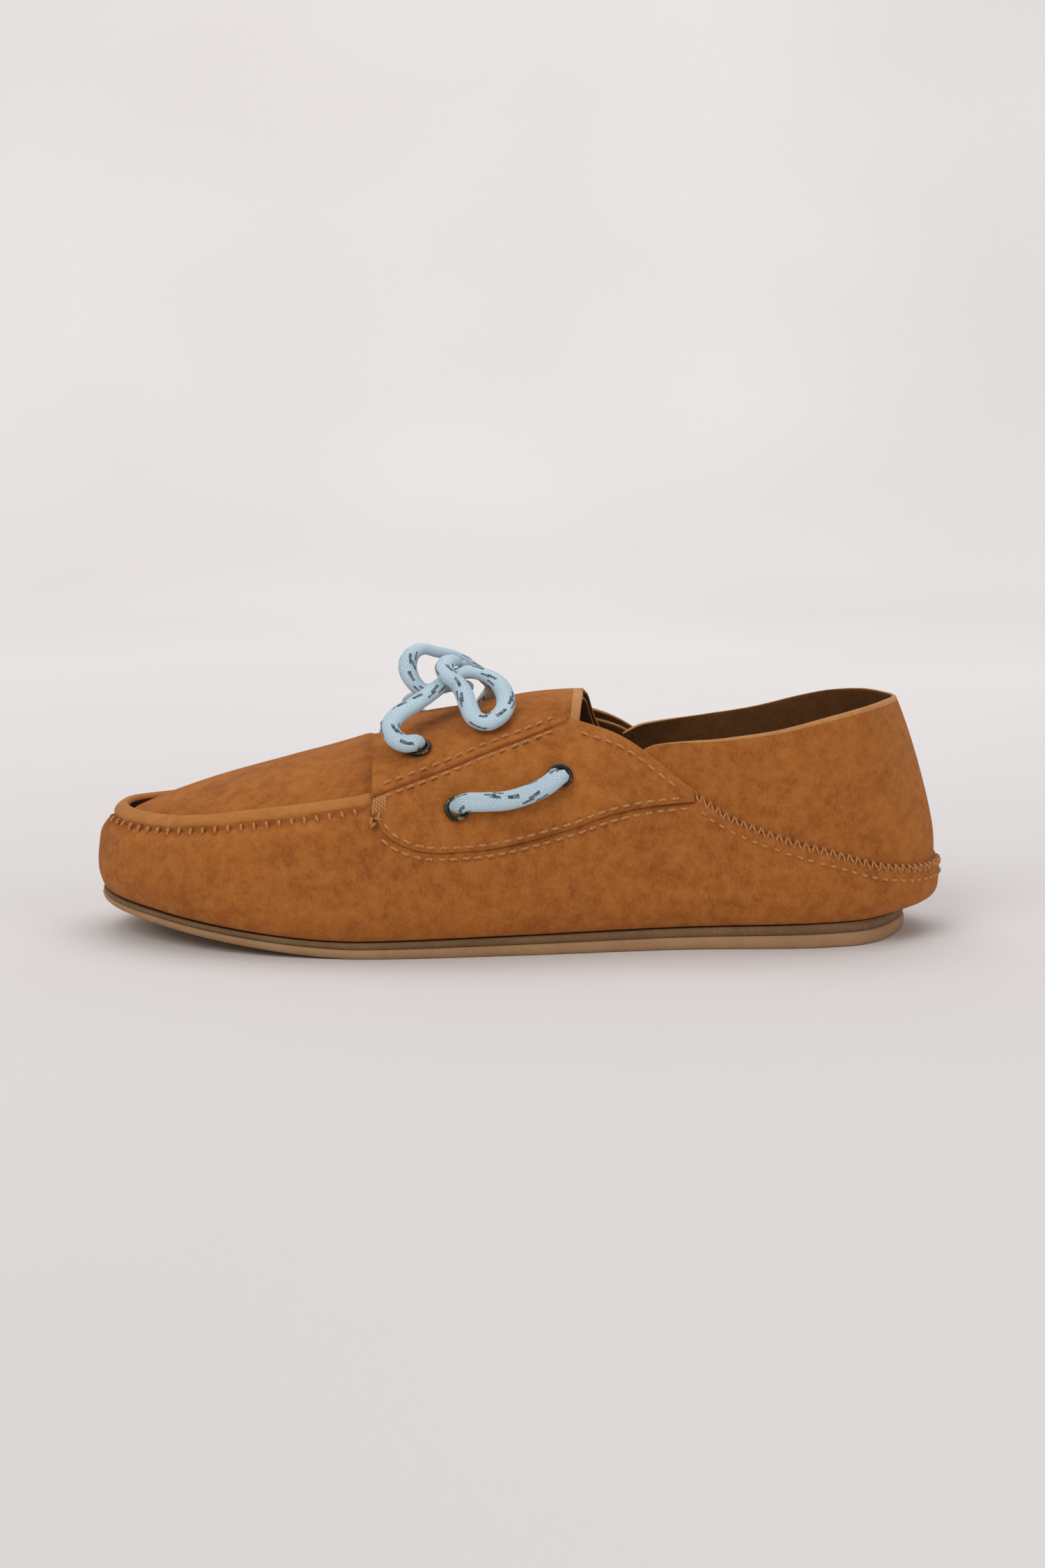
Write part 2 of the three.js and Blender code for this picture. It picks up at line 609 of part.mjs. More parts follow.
for (const [side, name] of [[-1, 'lateral'], [1, 'medial']]) {
  const cleared = punched(saddleGeometry(side), [side], ['front'], CLEARANCE_RADIUS);
  addPiece(`saddle_${name}`, punched(cleared, [side], ['side_front', 'side_rear']), suede);
  addPiece(`eyestay_${name}`, punched(eyestayGeometry(side), [side], ['front']), suede);
  for (const [place, eyelet] of Object.entries(EYELETS)) {
    const { point, normal } = surfaceFrame(side, eyelet.at);
    const ring = addPiece(`eyelet_${place}_${name}`, eyeletGeometry(eyelet.stack), finishes.eyelet);
    ring.position.copy(point).addScaledVector(normal, eyelet.layer);
    ring.quaternion.setFromUnitVectors(new THREE.Vector3(0, 0, 1), normal);
  }
}

addPiece('bow_lace_lateral', cord(BOW_LATERAL, LACE_RADIUS, BOW_STEPS), finishes.lace);
addPiece('bow_lace_medial', cord(BOW_MEDIAL, LACE_RADIUS, BOW_STEPS), finishes.lace);
addPiece('side_lace_lateral', cord(SIDE_LATERAL, LACE_RADIUS, SIDE_STEPS), finishes.lace);
addPiece('side_lace_medial', cord(SIDE_MEDIAL, LACE_RADIUS, SIDE_STEPS), finishes.lace);
addPiece('aglet_lateral', cord(AGLET_LATERAL, LACE_RADIUS, 2), finishes.aglet);
addPiece('aglet_medial', cord(AGLET_MEDIAL, LACE_RADIUS, 2), finishes.aglet);

export default shoe;
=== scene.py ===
# %% [markdown]
# # A laced suede moccasin
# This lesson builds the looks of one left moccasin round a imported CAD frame. The frame holds the
# sizes, the joints and plain solids. Here every soft or visible part is made again as a fine
# surface: suede sheets with cut edges, a raised toe seam, rows of stitches, braided laces.
# Formulas work in millimetres; `make_object` turns them into the frame's metres.

# %% Load the frame
import math

import bmesh
import bpy
import numpy as np
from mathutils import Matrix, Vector


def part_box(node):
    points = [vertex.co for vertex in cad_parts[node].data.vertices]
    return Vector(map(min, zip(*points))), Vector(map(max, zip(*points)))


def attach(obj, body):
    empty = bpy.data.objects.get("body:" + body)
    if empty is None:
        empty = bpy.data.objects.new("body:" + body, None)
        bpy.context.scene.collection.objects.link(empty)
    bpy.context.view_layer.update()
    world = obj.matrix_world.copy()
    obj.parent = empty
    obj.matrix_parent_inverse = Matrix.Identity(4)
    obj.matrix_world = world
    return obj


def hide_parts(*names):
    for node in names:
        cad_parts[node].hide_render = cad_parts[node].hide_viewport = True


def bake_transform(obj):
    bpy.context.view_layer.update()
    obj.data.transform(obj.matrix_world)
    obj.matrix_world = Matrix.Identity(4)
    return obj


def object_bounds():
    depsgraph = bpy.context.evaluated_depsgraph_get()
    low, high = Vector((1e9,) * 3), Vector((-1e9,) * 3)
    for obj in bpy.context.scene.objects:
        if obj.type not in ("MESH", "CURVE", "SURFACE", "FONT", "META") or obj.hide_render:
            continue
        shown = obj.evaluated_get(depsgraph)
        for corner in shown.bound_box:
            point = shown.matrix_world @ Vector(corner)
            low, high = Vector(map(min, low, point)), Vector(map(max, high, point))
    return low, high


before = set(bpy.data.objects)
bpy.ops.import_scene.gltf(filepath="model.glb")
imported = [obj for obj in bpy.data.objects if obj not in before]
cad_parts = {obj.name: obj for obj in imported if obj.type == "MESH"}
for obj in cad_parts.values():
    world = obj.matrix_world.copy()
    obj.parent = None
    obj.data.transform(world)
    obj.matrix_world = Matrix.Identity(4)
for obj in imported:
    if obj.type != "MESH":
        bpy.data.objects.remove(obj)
cad_low, cad_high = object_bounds()
MM = 0.001
HALF_LENGTH = (cad_high.x - cad_low.x) / 2 / MM
print("CAD box in mm", [round(v / MM, 1) for v in (*cad_low, *cad_high)])

# %% [markdown]
# ## Camera, floor and light
# The shoe is seen from its outer side, a little from above, with a normal lens. The sensor's
# long side is the picture's height. The floor sweeps up into the wall in one smooth curve, so
# that no horizon line shows, and large area lights give the soft shade of a studio.

# %% Camera
scene = bpy.context.scene
CAMERA_AT = (-0.0091, -0.6305, 0.1427)
CAMERA_PITCH = 9
CAMERA_YAW = 0.94
CAMERA_LENS = 49.6

camera_data = bpy.data.cameras.new("camera")
camera_data.sensor_fit = "AUTO"
camera_data.sensor_width = 36
camera_data.lens = CAMERA_LENS
camera_data.clip_start = 0.01
camera_data.clip_end = 20
camera = bpy.data.objects.new("camera", camera_data)
camera.location = CAMERA_AT
camera.rotation_euler = (math.radians(90 - CAMERA_PITCH), 0, math.radians(-CAMERA_YAW))
scene.collection.objects.link(camera)
scene.camera = camera

# %% Helpers that turn arrays into meshes
def make_object(name, points, faces, materials, face_slots=None, uv=None):
    """A mesh object at the origin from points in millimetres, and a list of faces by point number.
    face_slots gives each face's material; uv gives each point's (u, v)."""
    mesh = bpy.data.meshes.new(name)
    mesh.from_pydata((np.asarray(points).reshape(-1, 3) * MM).tolist(), [], faces)
    for material in materials:
        mesh.materials.append(material)
    if face_slots is not None:
        mesh.polygons.foreach_set("material_index", np.asarray(face_slots, np.int32))
    mesh.polygons.foreach_set("use_smooth", np.ones(len(mesh.polygons), bool))
    if uv is not None:
        corners = np.zeros(len(mesh.loops), np.int32)
        mesh.loops.foreach_get("vertex_index", corners)
        layer = mesh.uv_layers.new(name="along")
        layer.data.foreach_set("uv", np.asarray(uv, np.float32)[corners].ravel())
    mesh.update()
    made = bpy.data.objects.new(name, mesh)
    scene.collection.objects.link(made)
    return made


def grid_faces(rows, columns, close_rows=False, close_columns=False, first=0):
    """Quads of a grid of points numbered row by row; a closed direction joins its end to its start."""
    i = np.arange(rows if close_rows else rows - 1)[:, None]
    j = np.arange(columns if close_columns else columns - 1)[None, :]
    a = i * columns + j
    b = (i + 1) % rows * columns + j
    c = (i + 1) % rows * columns + (j + 1) % columns
    d = i * columns + (j + 1) % columns
    return first + np.stack([a, b, c, d], -1).reshape(-1, 4)


def unit(v):
    """Each vector divided by its length."""
    return v / np.maximum(np.linalg.norm(v, axis=-1, keepdims=True), 1e-9)


def outward_faces(points, faces):
    """The same faces, turned round if the volume that they enclose comes out negative."""
    p = np.asarray(points).reshape(-1, 3)
    a, b, c, d = (p[faces[:, k]] for k in range(4))
    volume = np.einsum("ij,ij->i", a, np.cross(b, c) + np.cross(c, d)).sum()
    return faces if volume > 0 else faces[:, ::-1]


def stand_in(made, node):
    """The piece rides on the shoe and replaces a CAD node, which it hides."""
    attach(made, "root")
    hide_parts(node)


# %% [markdown]
# ## The last
# A shoe is built on a last, a solid form of the foot. Every suede sheet here lies on one
# formula for that form, the same one as in the CAD part, so the fine sheets fall exactly where
# the plain ones are. An outline gives its width at each station, and an inset says how far the
# wall leans in at each height.

# %% Curves
def smooth(a, b, x):
    """0 before a, 1 after b, and an even S between."""
    t = np.clip((np.asarray(x, float) - a) / (b - a), 0, 1)
    return t * t * (3 - 2 * t)


def curve(pairs, x):
    """Cubic Hermite through (x, value) pairs. The slope at a pair is that of the chord between its
    neighbours, and the curve is level beyond both ends."""
    knots, values = np.array(pairs, float).T
    slopes = np.empty_like(values)
    slopes[1:-1] = (values[2:] - values[:-2]) / (knots[2:] - knots[:-2])
    slopes[0] = (values[1] - values[0]) / (knots[1] - knots[0])
    slopes[-1] = (values[-1] - values[-2]) / (knots[-1] - knots[-2])
    x = np.clip(np.asarray(x, float), knots[0], knots[-1])
    i = np.clip(np.searchsorted(knots, x) - 1, 0, len(knots) - 2)
    h = knots[i + 1] - knots[i]
    t = (x - knots[i]) / h
    start = (2 * t**3 - 3 * t**2 + 1) * values[i] + (t**3 - 2 * t**2 + t) * h * slopes[i]
    return start + (3 * t**2 - 2 * t**3) * values[i + 1] + (t**3 - t**2) * h * slopes[i + 1]


# %% Outline and walls of the last
TOE_TIP_SHIFT = 5
TOE_SPRING = 10
SPRING_START_X = -45
SOLE_AT_TOE = 3.2
SOLE_AT_HEEL = 7.4
OUTSOLE_SHARE = 0.58
SECTION_POWER = 2.3
COLLAR_BACK = 70.3
STATIONS = np.arange(9) * math.pi / 8
WIDTH_LATERAL = np.column_stack([STATIONS, [61, 59.5, 56.5, 51.3, 42.5, 38.5, 47.5, 54.5, 55]])
WIDTH_MEDIAL = np.column_stack([STATIONS, [61, 55, 54, 48.6, 38, 33, 45.5, 54, 55]])
WIDEST_HEIGHT = [(-125, 20.7), (-90, 18.5), (-40, 16.4), (60, 16.9), (125, 20)]
CROWN_HEIGHT = [(-125, 45.8), (-100, 46.3), (-80, 48.5), (-60, 52.9), (-41, 58.4), (-20, 63.4),
                (0, 67.6), (20, 69.5), (60, 70.9)]


def station(x):
    """Station angle at x: 0 at the toe, pi at the heel."""
    return np.arccos(np.clip(-np.asarray(x, float) / HALF_LENGTH, -1, 1))


def outline(side, angle):
    """Plan of the widest line: x = -L cos a, y = toe shift + side * g(a) * sin a; side is -1 on the
    lateral half and 1 on the medial one."""
    g = np.where(side < 0, curve(WIDTH_LATERAL, angle), curve(WIDTH_MEDIAL, angle))
    centre = TOE_TIP_SHIFT * ((1 + np.cos(angle)) / 2) ** 3
    return -HALF_LENGTH * np.cos(angle), centre + side * g * np.sin(angle)


def outward(side, angle):
    """Level direction out of the shoe: sideways along the body, fanning round both ends."""
    step = 0.01
    ax, ay = outline(side, np.maximum(0, angle - step))
    bx, by = outline(side, np.minimum(math.pi, angle + step))
    turn = smooth(60, 95, np.abs(HALF_LENGTH * np.cos(angle)))
    nx = -side * (by - ay) * turn
    ny = side * (bx - ax)
    at_end = (angle < step) | (angle > math.pi - step)
    nx = np.where(at_end, -np.sign(np.cos(angle)), nx)
    ny = np.where(at_end, 0, ny)
    length = np.hypot(nx, ny)
    return nx / length, ny / length


def spring(x):
    """Height of the ground side of the sole, which curves up at the toe."""
    return TOE_SPRING * np.clip((SPRING_START_X - x) / 80, 0, 1) ** 1.5


def sole_thickness(x):
    return SOLE_AT_TOE + (SOLE_AT_HEEL - SOLE_AT_TOE) * np.clip((x + 125) / 238, 0, 1)


def sole_top(x):
    return spring(x) + sole_thickness(x)


def sole_inset(x):
    """How far the edge of the sole lies inside the widest line; more at the overhanging heel."""
    return 3.2 - 1.8 * smooth(-104, -123, x) + 6.8 * smooth(96, 124, x)


def half_width(side, x):
    return np.abs(outline(side, station(x))[1])


def wall_inset(side, x, z):
    """How far the wall stands in from the widest line. Below it: a parabola down to the sole,
    squarer at the heel. Above it: a superellipse arch over the instep, turning to a nearly upright
    wall round the heel."""
    widest = curve(WIDEST_HEIGHT, x)
    feather = sole_inset(x) + 0.6
    fullness = 2 + 4 * smooth(80, 120, x)
    depth = np.maximum(0, widest - z) / (widest - sole_top(x))
    below = feather * depth**fullness
    crown = curve(CROWN_HEIGHT, x)
    scale = np.where(x < -60, 44, half_width(side, x))
    rise = np.clip((z - widest) / (crown - widest), 0, 0.985)
    arched = scale * (1 - (1 - rise**SECTION_POWER) ** (1 / SECTION_POWER))
    lean = 3.5 + 9 * smooth(92, 125, x)
    upright = lean * np.maximum(0, (z - widest) / (COLLAR_BACK - widest)) ** 1.8
    back = smooth(25, 60, x)
    return np.where(z < widest, below, arched * (1 - back) + upright * back)


def wall(side, angle, z):
    """Point of the last at a station angle and a height."""
    x, y = outline(side, angle)
    nx, ny = outward(side, angle)
    inset = wall_inset(side, x, z)
    return np.stack(np.broadcast_arrays(x - nx * inset, y - ny * inset, z), -1)


def wall_normal(side, angle, z):
    """Outward normal of the last: the cross product of small steps along and up the wall."""
    turn, up = 0.006, 0.4
    before, after = (np.clip(angle + step, 0, math.pi) for step in (-turn, turn))
    along = wall(side, after, z) - wall(side, before, z)
    rise = wall(side, angle, z + up) - wall(side, angle, z - up)
    normal = unit(np.cross(along, rise))
    return np.where(np.asarray(side)[..., None] < 0, normal, -normal)


def arch(x, y):
    """Height of the top of the instep at (x, y)."""
    side = np.where(y < 0, -1, 1)
    share = np.minimum(0.995, np.abs(y) / half_width(side, x))
    widest = curve(WIDEST_HEIGHT, x)
    return widest + (curve(CROWN_HEIGHT, x) - widest) * (1 - share**SECTION_POWER) ** (1 / SECTION_POWER)


print("width of the last at the ball, mm", round(float(half_width(-1, -40) + half_width(1, -40)), 1))

# %% [markdown]
# ## Finishes
# Suede is leather with a raised nap: matt, mottled where the nap leans this way and that, and
# paler at grazing angles, which a sheen gives. Its cut edges show the pale fibres inside, and
# its back, the flesh side, is browner and flatter. One node group makes the nap, and each
# suede finish places it with its own three tones. Patterns read Object coordinates in metres,
# so a noise scale of 180 has features of about 5 mm.

# %% Material helpers
def add_node(tree, kind, inputs=(), **settings):
    """A node of that kind, with its settings and the values of its named or numbered inputs."""
    made = tree.nodes.new(kind)
    for key, value in settings.items():
        setattr(made, key, value)
    for key, value in dict(inputs).items():
        made.inputs[key].default_value = value
    return made


def start_material(name, roughness, **shader_values):
    """A material with one Principled shader, whose uniform values are set on its own sockets."""
    material = bpy.data.materials.new(name)
    material.use_nodes = True
    shader = material.node_tree.nodes["Principled BSDF"]
    shader.inputs["Roughness"].default_value = roughness
    for key, value in shader_values.items():
        shader.inputs[key.replace("_", " ")].default_value = value
    return material, material.node_tree, shader


def colour_mix(tree, factor, a, b, blend="MIX"):
    """Mix of two colours, each a socket or four numbers, by a factor that is a socket or a number."""
    mix = add_node(tree, "ShaderNodeMix", data_type="RGBA", blend_type=blend)
    for socket, value in zip((mix.inputs[0], mix.inputs[6], mix.inputs[7]), (factor, a, b)):
        if isinstance(value, bpy.types.NodeSocket):
            tree.links.new(value, socket)
        else:
            socket.default_value = value
    return mix.outputs[2]


def noise(tree, vector, scale, detail=3.0, roughness=0.6):
    inputs = {"Scale": scale, "Detail": detail, "Roughness": roughness}
    made = add_node(tree, "ShaderNodeTexNoise", inputs)
    tree.links.new(vector, made.inputs["Vector"])
    return made.outputs["Fac"]


def stretch(tree, value, low, high, out_low=0.0, out_high=1.0):
    """A value's span from low to high spread over out_low to out_high, held at both ends."""
    made = add_node(tree, "ShaderNodeMapRange", {1: low, 2: high, 3: out_low, 4: out_high})
    tree.links.new(value, made.inputs[0])
    return made.outputs[0]


def arithmetic(tree, operation, a, b=0.0):
    made = add_node(tree, "ShaderNodeMath", operation=operation)
    for socket, value in zip(made.inputs, (a, b)):
        if isinstance(value, bpy.types.NodeSocket):
            tree.links.new(value, socket)
        else:
            socket.default_value = value
    return made.outputs[0]


def object_coordinates(tree):
    return add_node(tree, "ShaderNodeTexCoord").outputs["Object"]


def add_bump(tree, shader, height, strength, distance):
    """Bump from a height that runs 0 to 1, where 1 stands `distance` metres up."""
    bump = add_node(tree, "ShaderNodeBump", {"Strength": strength, "Distance": distance})
    tree.links.new(height, bump.inputs["Height"])
    tree.links.new(bump.outputs[0], shader.inputs["Normal"])


# %% The nap, as a node group
def nap_group():
    """Node group: three tones mixed by large brushed patches, small mottles and fine fibres. It
    puts out the colour and the height of the fibres."""
    group = bpy.data.node_groups.new("suede nap", "ShaderNodeTree")
    face = group.interface
    face.new_socket("Vector", in_out="INPUT", socket_type="NodeSocketVector")
    for tone in ("Dark", "Middle", "Light"):
        face.new_socket(tone, in_out="INPUT", socket_type="NodeSocketColor")
    face.new_socket("Mottle", in_out="INPUT", socket_type="NodeSocketFloat").default_value = 1.0
    face.new_socket("Color", in_out="OUTPUT", socket_type="NodeSocketColor")
    face.new_socket("Height", in_out="OUTPUT", socket_type="NodeSocketFloat")
    inside = add_node(group, "NodeGroupInput")
    outside = add_node(group, "NodeGroupOutput")
    vector = inside.outputs["Vector"]
    patches = stretch(group, noise(group, vector, 48, 4, 0.58), 0.36, 0.68)
    mottles = stretch(group, noise(group, vector, 260, 4, 0.66), 0.38, 0.64)
    lean = add_node(group, "ShaderNodeMapping", {"Scale": (1.0, 1.0, 0.4)})
    group.links.new(vector, lean.inputs["Vector"])
    fibres = noise(group, lean.outputs[0], 1900, 4, 0.75)
    shadow = arithmetic(group, "MULTIPLY", patches, inside.outputs["Mottle"])
    base = colour_mix(group, shadow, inside.outputs["Middle"], inside.outputs["Dark"])
    bright = arithmetic(group, "MULTIPLY", mottles, 0.5)
    tone = colour_mix(group, bright, base, inside.outputs["Light"])
    specks = stretch(group, fibres, 0.38, 0.64, 0.0, 0.42)
    tipped = colour_mix(group, specks, tone, inside.outputs["Light"])
    group.links.new(tipped, outside.inputs["Color"])
    soft = arithmetic(group, "MULTIPLY", mottles, 0.5)
    group.links.new(arithmetic(group, "ADD", soft, fibres), outside.inputs["Height"])
    return group


NAP = nap_group()


def suede_material(name, dark, middle, light, mottle, sheen, sheen_tint):
    """Suede in three tones with a matt sheen."""
    material, tree, shader = start_material(
        name, 0.93, Sheen_Weight=sheen, Sheen_Roughness=0.45, Sheen_Tint=(*sheen_tint, 1),
        Specular_IOR_Level=0.18)
    nap = add_node(tree, "ShaderNodeGroup", node_tree=NAP)
    tree.links.new(object_coordinates(tree), nap.inputs["Vector"])
    for socket, tone in (("Dark", dark), ("Middle", middle), ("Light", light)):
        nap.inputs[socket].default_value = (*tone, 1)
    nap.inputs["Mottle"].default_value = mottle
    tree.links.new(nap.outputs["Color"], shader.inputs["Base Color"])
    add_bump(tree, shader, nap.outputs["Height"], 0.6, 0.0004)
    return material


SUEDE = suede_material("cognac suede", (0.215, 0.048, 0.008), (0.385, 0.115, 0.018),
                       (0.580, 0.215, 0.048), 0.70, 0.14, (1.0, 0.58, 0.30))
LIP_SUEDE = suede_material("turned suede", (0.360, 0.120, 0.024), (0.470, 0.170, 0.038),
                           (0.600, 0.250, 0.070), 0.4, 0.25, (1.0, 0.66, 0.42))
FLESH = suede_material("flesh side", (0.105, 0.038, 0.010), (0.150, 0.058, 0.016),
                       (0.215, 0.092, 0.028), 0.7, 0.12, (0.9, 0.65, 0.45))
CUT_EDGE = suede_material("cut edge", (0.400, 0.150, 0.040), (0.540, 0.235, 0.082),
                          (0.660, 0.340, 0.140), 0.5, 0.2, (1.0, 0.75, 0.5))


# %% Rubber, thread, metal and the rest
def rubber_material(name, dark, light, grain):
    """Matt rubber: two close tones in soft clouds, with a fine grain and a little pale dust."""
    material, tree, shader = start_material(name, 0.62, Specular_IOR_Level=0.35)
    where = object_coordinates(tree)
    clouds = stretch(tree, noise(tree, where, 60, 4), 0.3, 0.7)
    dust = stretch(tree, noise(tree, where, 900, 3), 0.55, 0.75, 0, 0.15)
    tone = colour_mix(tree, clouds, (*dark, 1), (*light, 1))
    dusty = colour_mix(tree, dust, tone, (0.55, 0.46, 0.34, 1))
    tree.links.new(dusty, shader.inputs["Base Color"])
    rough = stretch(tree, noise(tree, where, 320, 3), 0.3, 0.7, 0.52, 0.74)
    tree.links.new(rough, shader.inputs["Roughness"])
    add_bump(tree, shader, noise(tree, where, grain, 4), 0.5, 0.00025)
    return material


OUTSOLE_RUBBER = rubber_material("tan rubber", (0.370, 0.200, 0.092), (0.450, 0.260, 0.125), 700)
MIDSOLE_RUBBER = rubber_material("brown rubber", (0.165, 0.085, 0.034), (0.230, 0.128, 0.055), 900)


def thread_material():
    """Waxed thread: a fine slant twist, pale on its crests."""
    material, tree, shader = start_material("stitching thread", 0.7, Sheen_Weight=0.15)
    wave = add_node(tree, "ShaderNodeTexWave", {"Scale": 420, "Distortion": 1.5, "Detail": 1},
                    bands_direction="DIAGONAL")
    tree.links.new(object_coordinates(tree), wave.inputs["Vector"])
    tone = colour_mix(tree, wave.outputs["Fac"], (0.420, 0.155, 0.036, 1), (0.600, 0.270, 0.080, 1))
    tree.links.new(tone, shader.inputs["Base Color"])
    add_bump(tree, shader, wave.outputs["Fac"], 0.6, 0.00012)
    return material


def gunmetal_material():
    """Dark plated metal with brass-coloured patches: partly brass rubbed through, partly a painted gold
    glint.
    """
    material, tree, shader = start_material("gunmetal", 0.34, Metallic=1.0)
    where = object_coordinates(tree)
    # painted glint: brass-coloured patches in noise, partly worn brass and partly a painted gold
    # highlight
    brass_glint_and_wear = stretch(tree, noise(tree, where, 330, 3), 0.56, 0.66)
    tone = colour_mix(tree, brass_glint_and_wear, (0.045, 0.050, 0.045, 1), (0.420, 0.300, 0.140, 1))
    tree.links.new(tone, shader.inputs["Base Color"])
    rough = stretch(tree, noise(tree, where, 1500, 2), 0.3, 0.7, 0.26, 0.46)
    tree.links.new(rough, shader.inputs["Roughness"])
    return material


def plain_fibre_material(name, dark, light, scale):
    """Open-cell foam or pressed board: two tones in small grains."""
    material, tree, shader = start_material(name, 0.95)
    grain = noise(tree, object_coordinates(tree), scale, 4)
    tone = colour_mix(tree, stretch(tree, grain, 0.35, 0.65), (*dark, 1), (*light, 1))
    tree.links.new(tone, shader.inputs["Base Color"])
    add_bump(tree, shader, grain, 0.6, 0.0003)
    return material


THREAD = thread_material()
GUNMETAL = gunmetal_material()
FOAM = plain_fibre_material("cushion foam", (0.520, 0.450, 0.340), (0.640, 0.570, 0.450), 1500)
BOARD = plain_fibre_material("fibre board", (0.300, 0.210, 0.130), (0.420, 0.310, 0.200), 700)


# %% [markdown]
# ## The laces
# The lace is a flat tubular braid, pale blue, with short dark flecks where a marker yarn comes
# to the surface. A braid is a sweep: one rounded section carried along a smooth path. Its own
# UV map gives the length in millimetres along it and the turn round it, so the braid's slanted
# plaits and the flecks follow every bend. The routes are the CAD part's own, point by point.

# %% The braid's finish
BRAID_PLAIT = 1.25
FLECK_GROUP = 21.0
DASH_LENGTH = 3.4
DASH_HALF_WIDTH = 0.052


def fleck_mask(tree, along, across, offset, centre, drift):
    """1 inside a short dash: once per group along the lace, near `centre` of its width. The dash
    leans, because its place across drifts along the group."""
    shifted = arithmetic(tree, "ADD", along, offset)
    place = arithmetic(tree, "MODULO", shifted, FLECK_GROUP)
    short = arithmetic(tree, "LESS_THAN", place, DASH_LENGTH)
    leaning = arithmetic(tree, "MULTIPLY", place, drift)
    aim = arithmetic(tree, "ADD", leaning, centre)
    off = arithmetic(tree, "ABSOLUTE", arithmetic(tree, "SUBTRACT", across, aim))
    narrow = arithmetic(tree, "LESS_THAN", off, DASH_HALF_WIDTH)
    return arithmetic(tree, "MULTIPLY", short, narrow)


def lace_material(name, tone_low, tone_high, roughness, coat):
    """Pale braid: plaits slanting both ways over the UV map, with dark dashes between."""
    material, tree, shader = start_material(
        name, roughness, Coat_Weight=coat, Coat_Roughness=0.12, Sheen_Weight=0.1)
    split = add_node(tree, "ShaderNodeSeparateXYZ")
    tree.links.new(add_node(tree, "ShaderNodeUVMap", uv_map="along").outputs[0], split.inputs[0])
    along, across = split.outputs[0], split.outputs[1]
    turns = arithmetic(tree, "MULTIPLY", across, 12.0)
    steps = arithmetic(tree, "DIVIDE", along, BRAID_PLAIT)
    waves = []
    for sign in ("ADD", "SUBTRACT"):
        slant = arithmetic(tree, sign, steps, turns)
        waves.append(arithmetic(tree, "SINE", arithmetic(tree, "MULTIPLY", slant, math.pi)))
    plait = arithmetic(tree, "ABSOLUTE", arithmetic(tree, "MULTIPLY", waves[0], waves[1]))
    tone = colour_mix(tree, plait, (*tone_low, 1), (*tone_high, 1))
    dashes = None
    for offset, centre, drift in FLECKS:
        mask = fleck_mask(tree, along, across, offset, centre, drift)
        dashes = mask if dashes is None else arithmetic(tree, "MAXIMUM", dashes, mask)
    worn = stretch(tree, noise(tree, object_coordinates(tree), 900, 2), 0.3, 0.6, 0.55, 1.0)
    dark = arithmetic(tree, "MULTIPLY", dashes, worn)
    tree.links.new(colour_mix(tree, dark, tone, (0.040, 0.075, 0.105, 1)), shader.inputs["Base Color"])
    fuzz = noise(tree, object_coordinates(tree), 5000, 2)
    height = arithmetic(tree, "ADD", plait, arithmetic(tree, "MULTIPLY", fuzz, 0.4))
    add_bump(tree, shader, height, 0.7, 0.0003)
    return material


FLECKS = [(0.0, 0.16, 0.018), (2.6, 0.24, 0.018), (1.2, 0.34, 0.018), (11.0, 0.62, -0.016),
          (13.0, 0.73, -0.016), (9.4, 0.86, -0.014), (10.2, 0.10, 0.018), (16.6, 0.42, 0.015)]
BRAID = lace_material("pale blue braid", (0.480, 0.660, 0.780), (0.760, 0.890, 0.965), 0.85, 0.0)
TIP_FILM = lace_material("tip film", (0.420, 0.590, 0.700), (0.600, 0.760, 0.860), 0.35, 0.7)


# %% The braid's shape
LACE_WIDTH = 5.4
LACE_THICKNESS = 3.1
TIP_WIDTH = 3.6
TIP_THICKNESS = 2.9
DOME_LENGTH = 1.2
LACE_CORNERS = 18


def smooth_route(points, step=0.7):
    """Points close together on a smooth curve through the given ones, by length along the chords."""
    p = np.array(points, float)
    chords = np.concatenate([[0], np.cumsum(np.linalg.norm(np.diff(p, axis=0), axis=1))])
    fine = np.linspace(0, chords[-1], int(chords[-1] / step) + 1)
    return np.column_stack([curve(np.column_stack([chords, p[:, k]]), fine) for k in range(3)])


def lengths_along(path):
    return np.concatenate([[0], np.cumsum(np.linalg.norm(np.diff(path, axis=0), axis=1))])


def rolling_mean(values, reach):
    """Each row replaced by the mean of the rows within `reach` of it, ends held."""
    padded = np.pad(values, ((reach, reach), (0, 0)), mode="edge")
    sums = np.cumsum(np.vstack([np.zeros(values.shape[1]), padded]), axis=0)
    span = 2 * reach + 1
    return (sums[span:] - sums[:-span]) / span


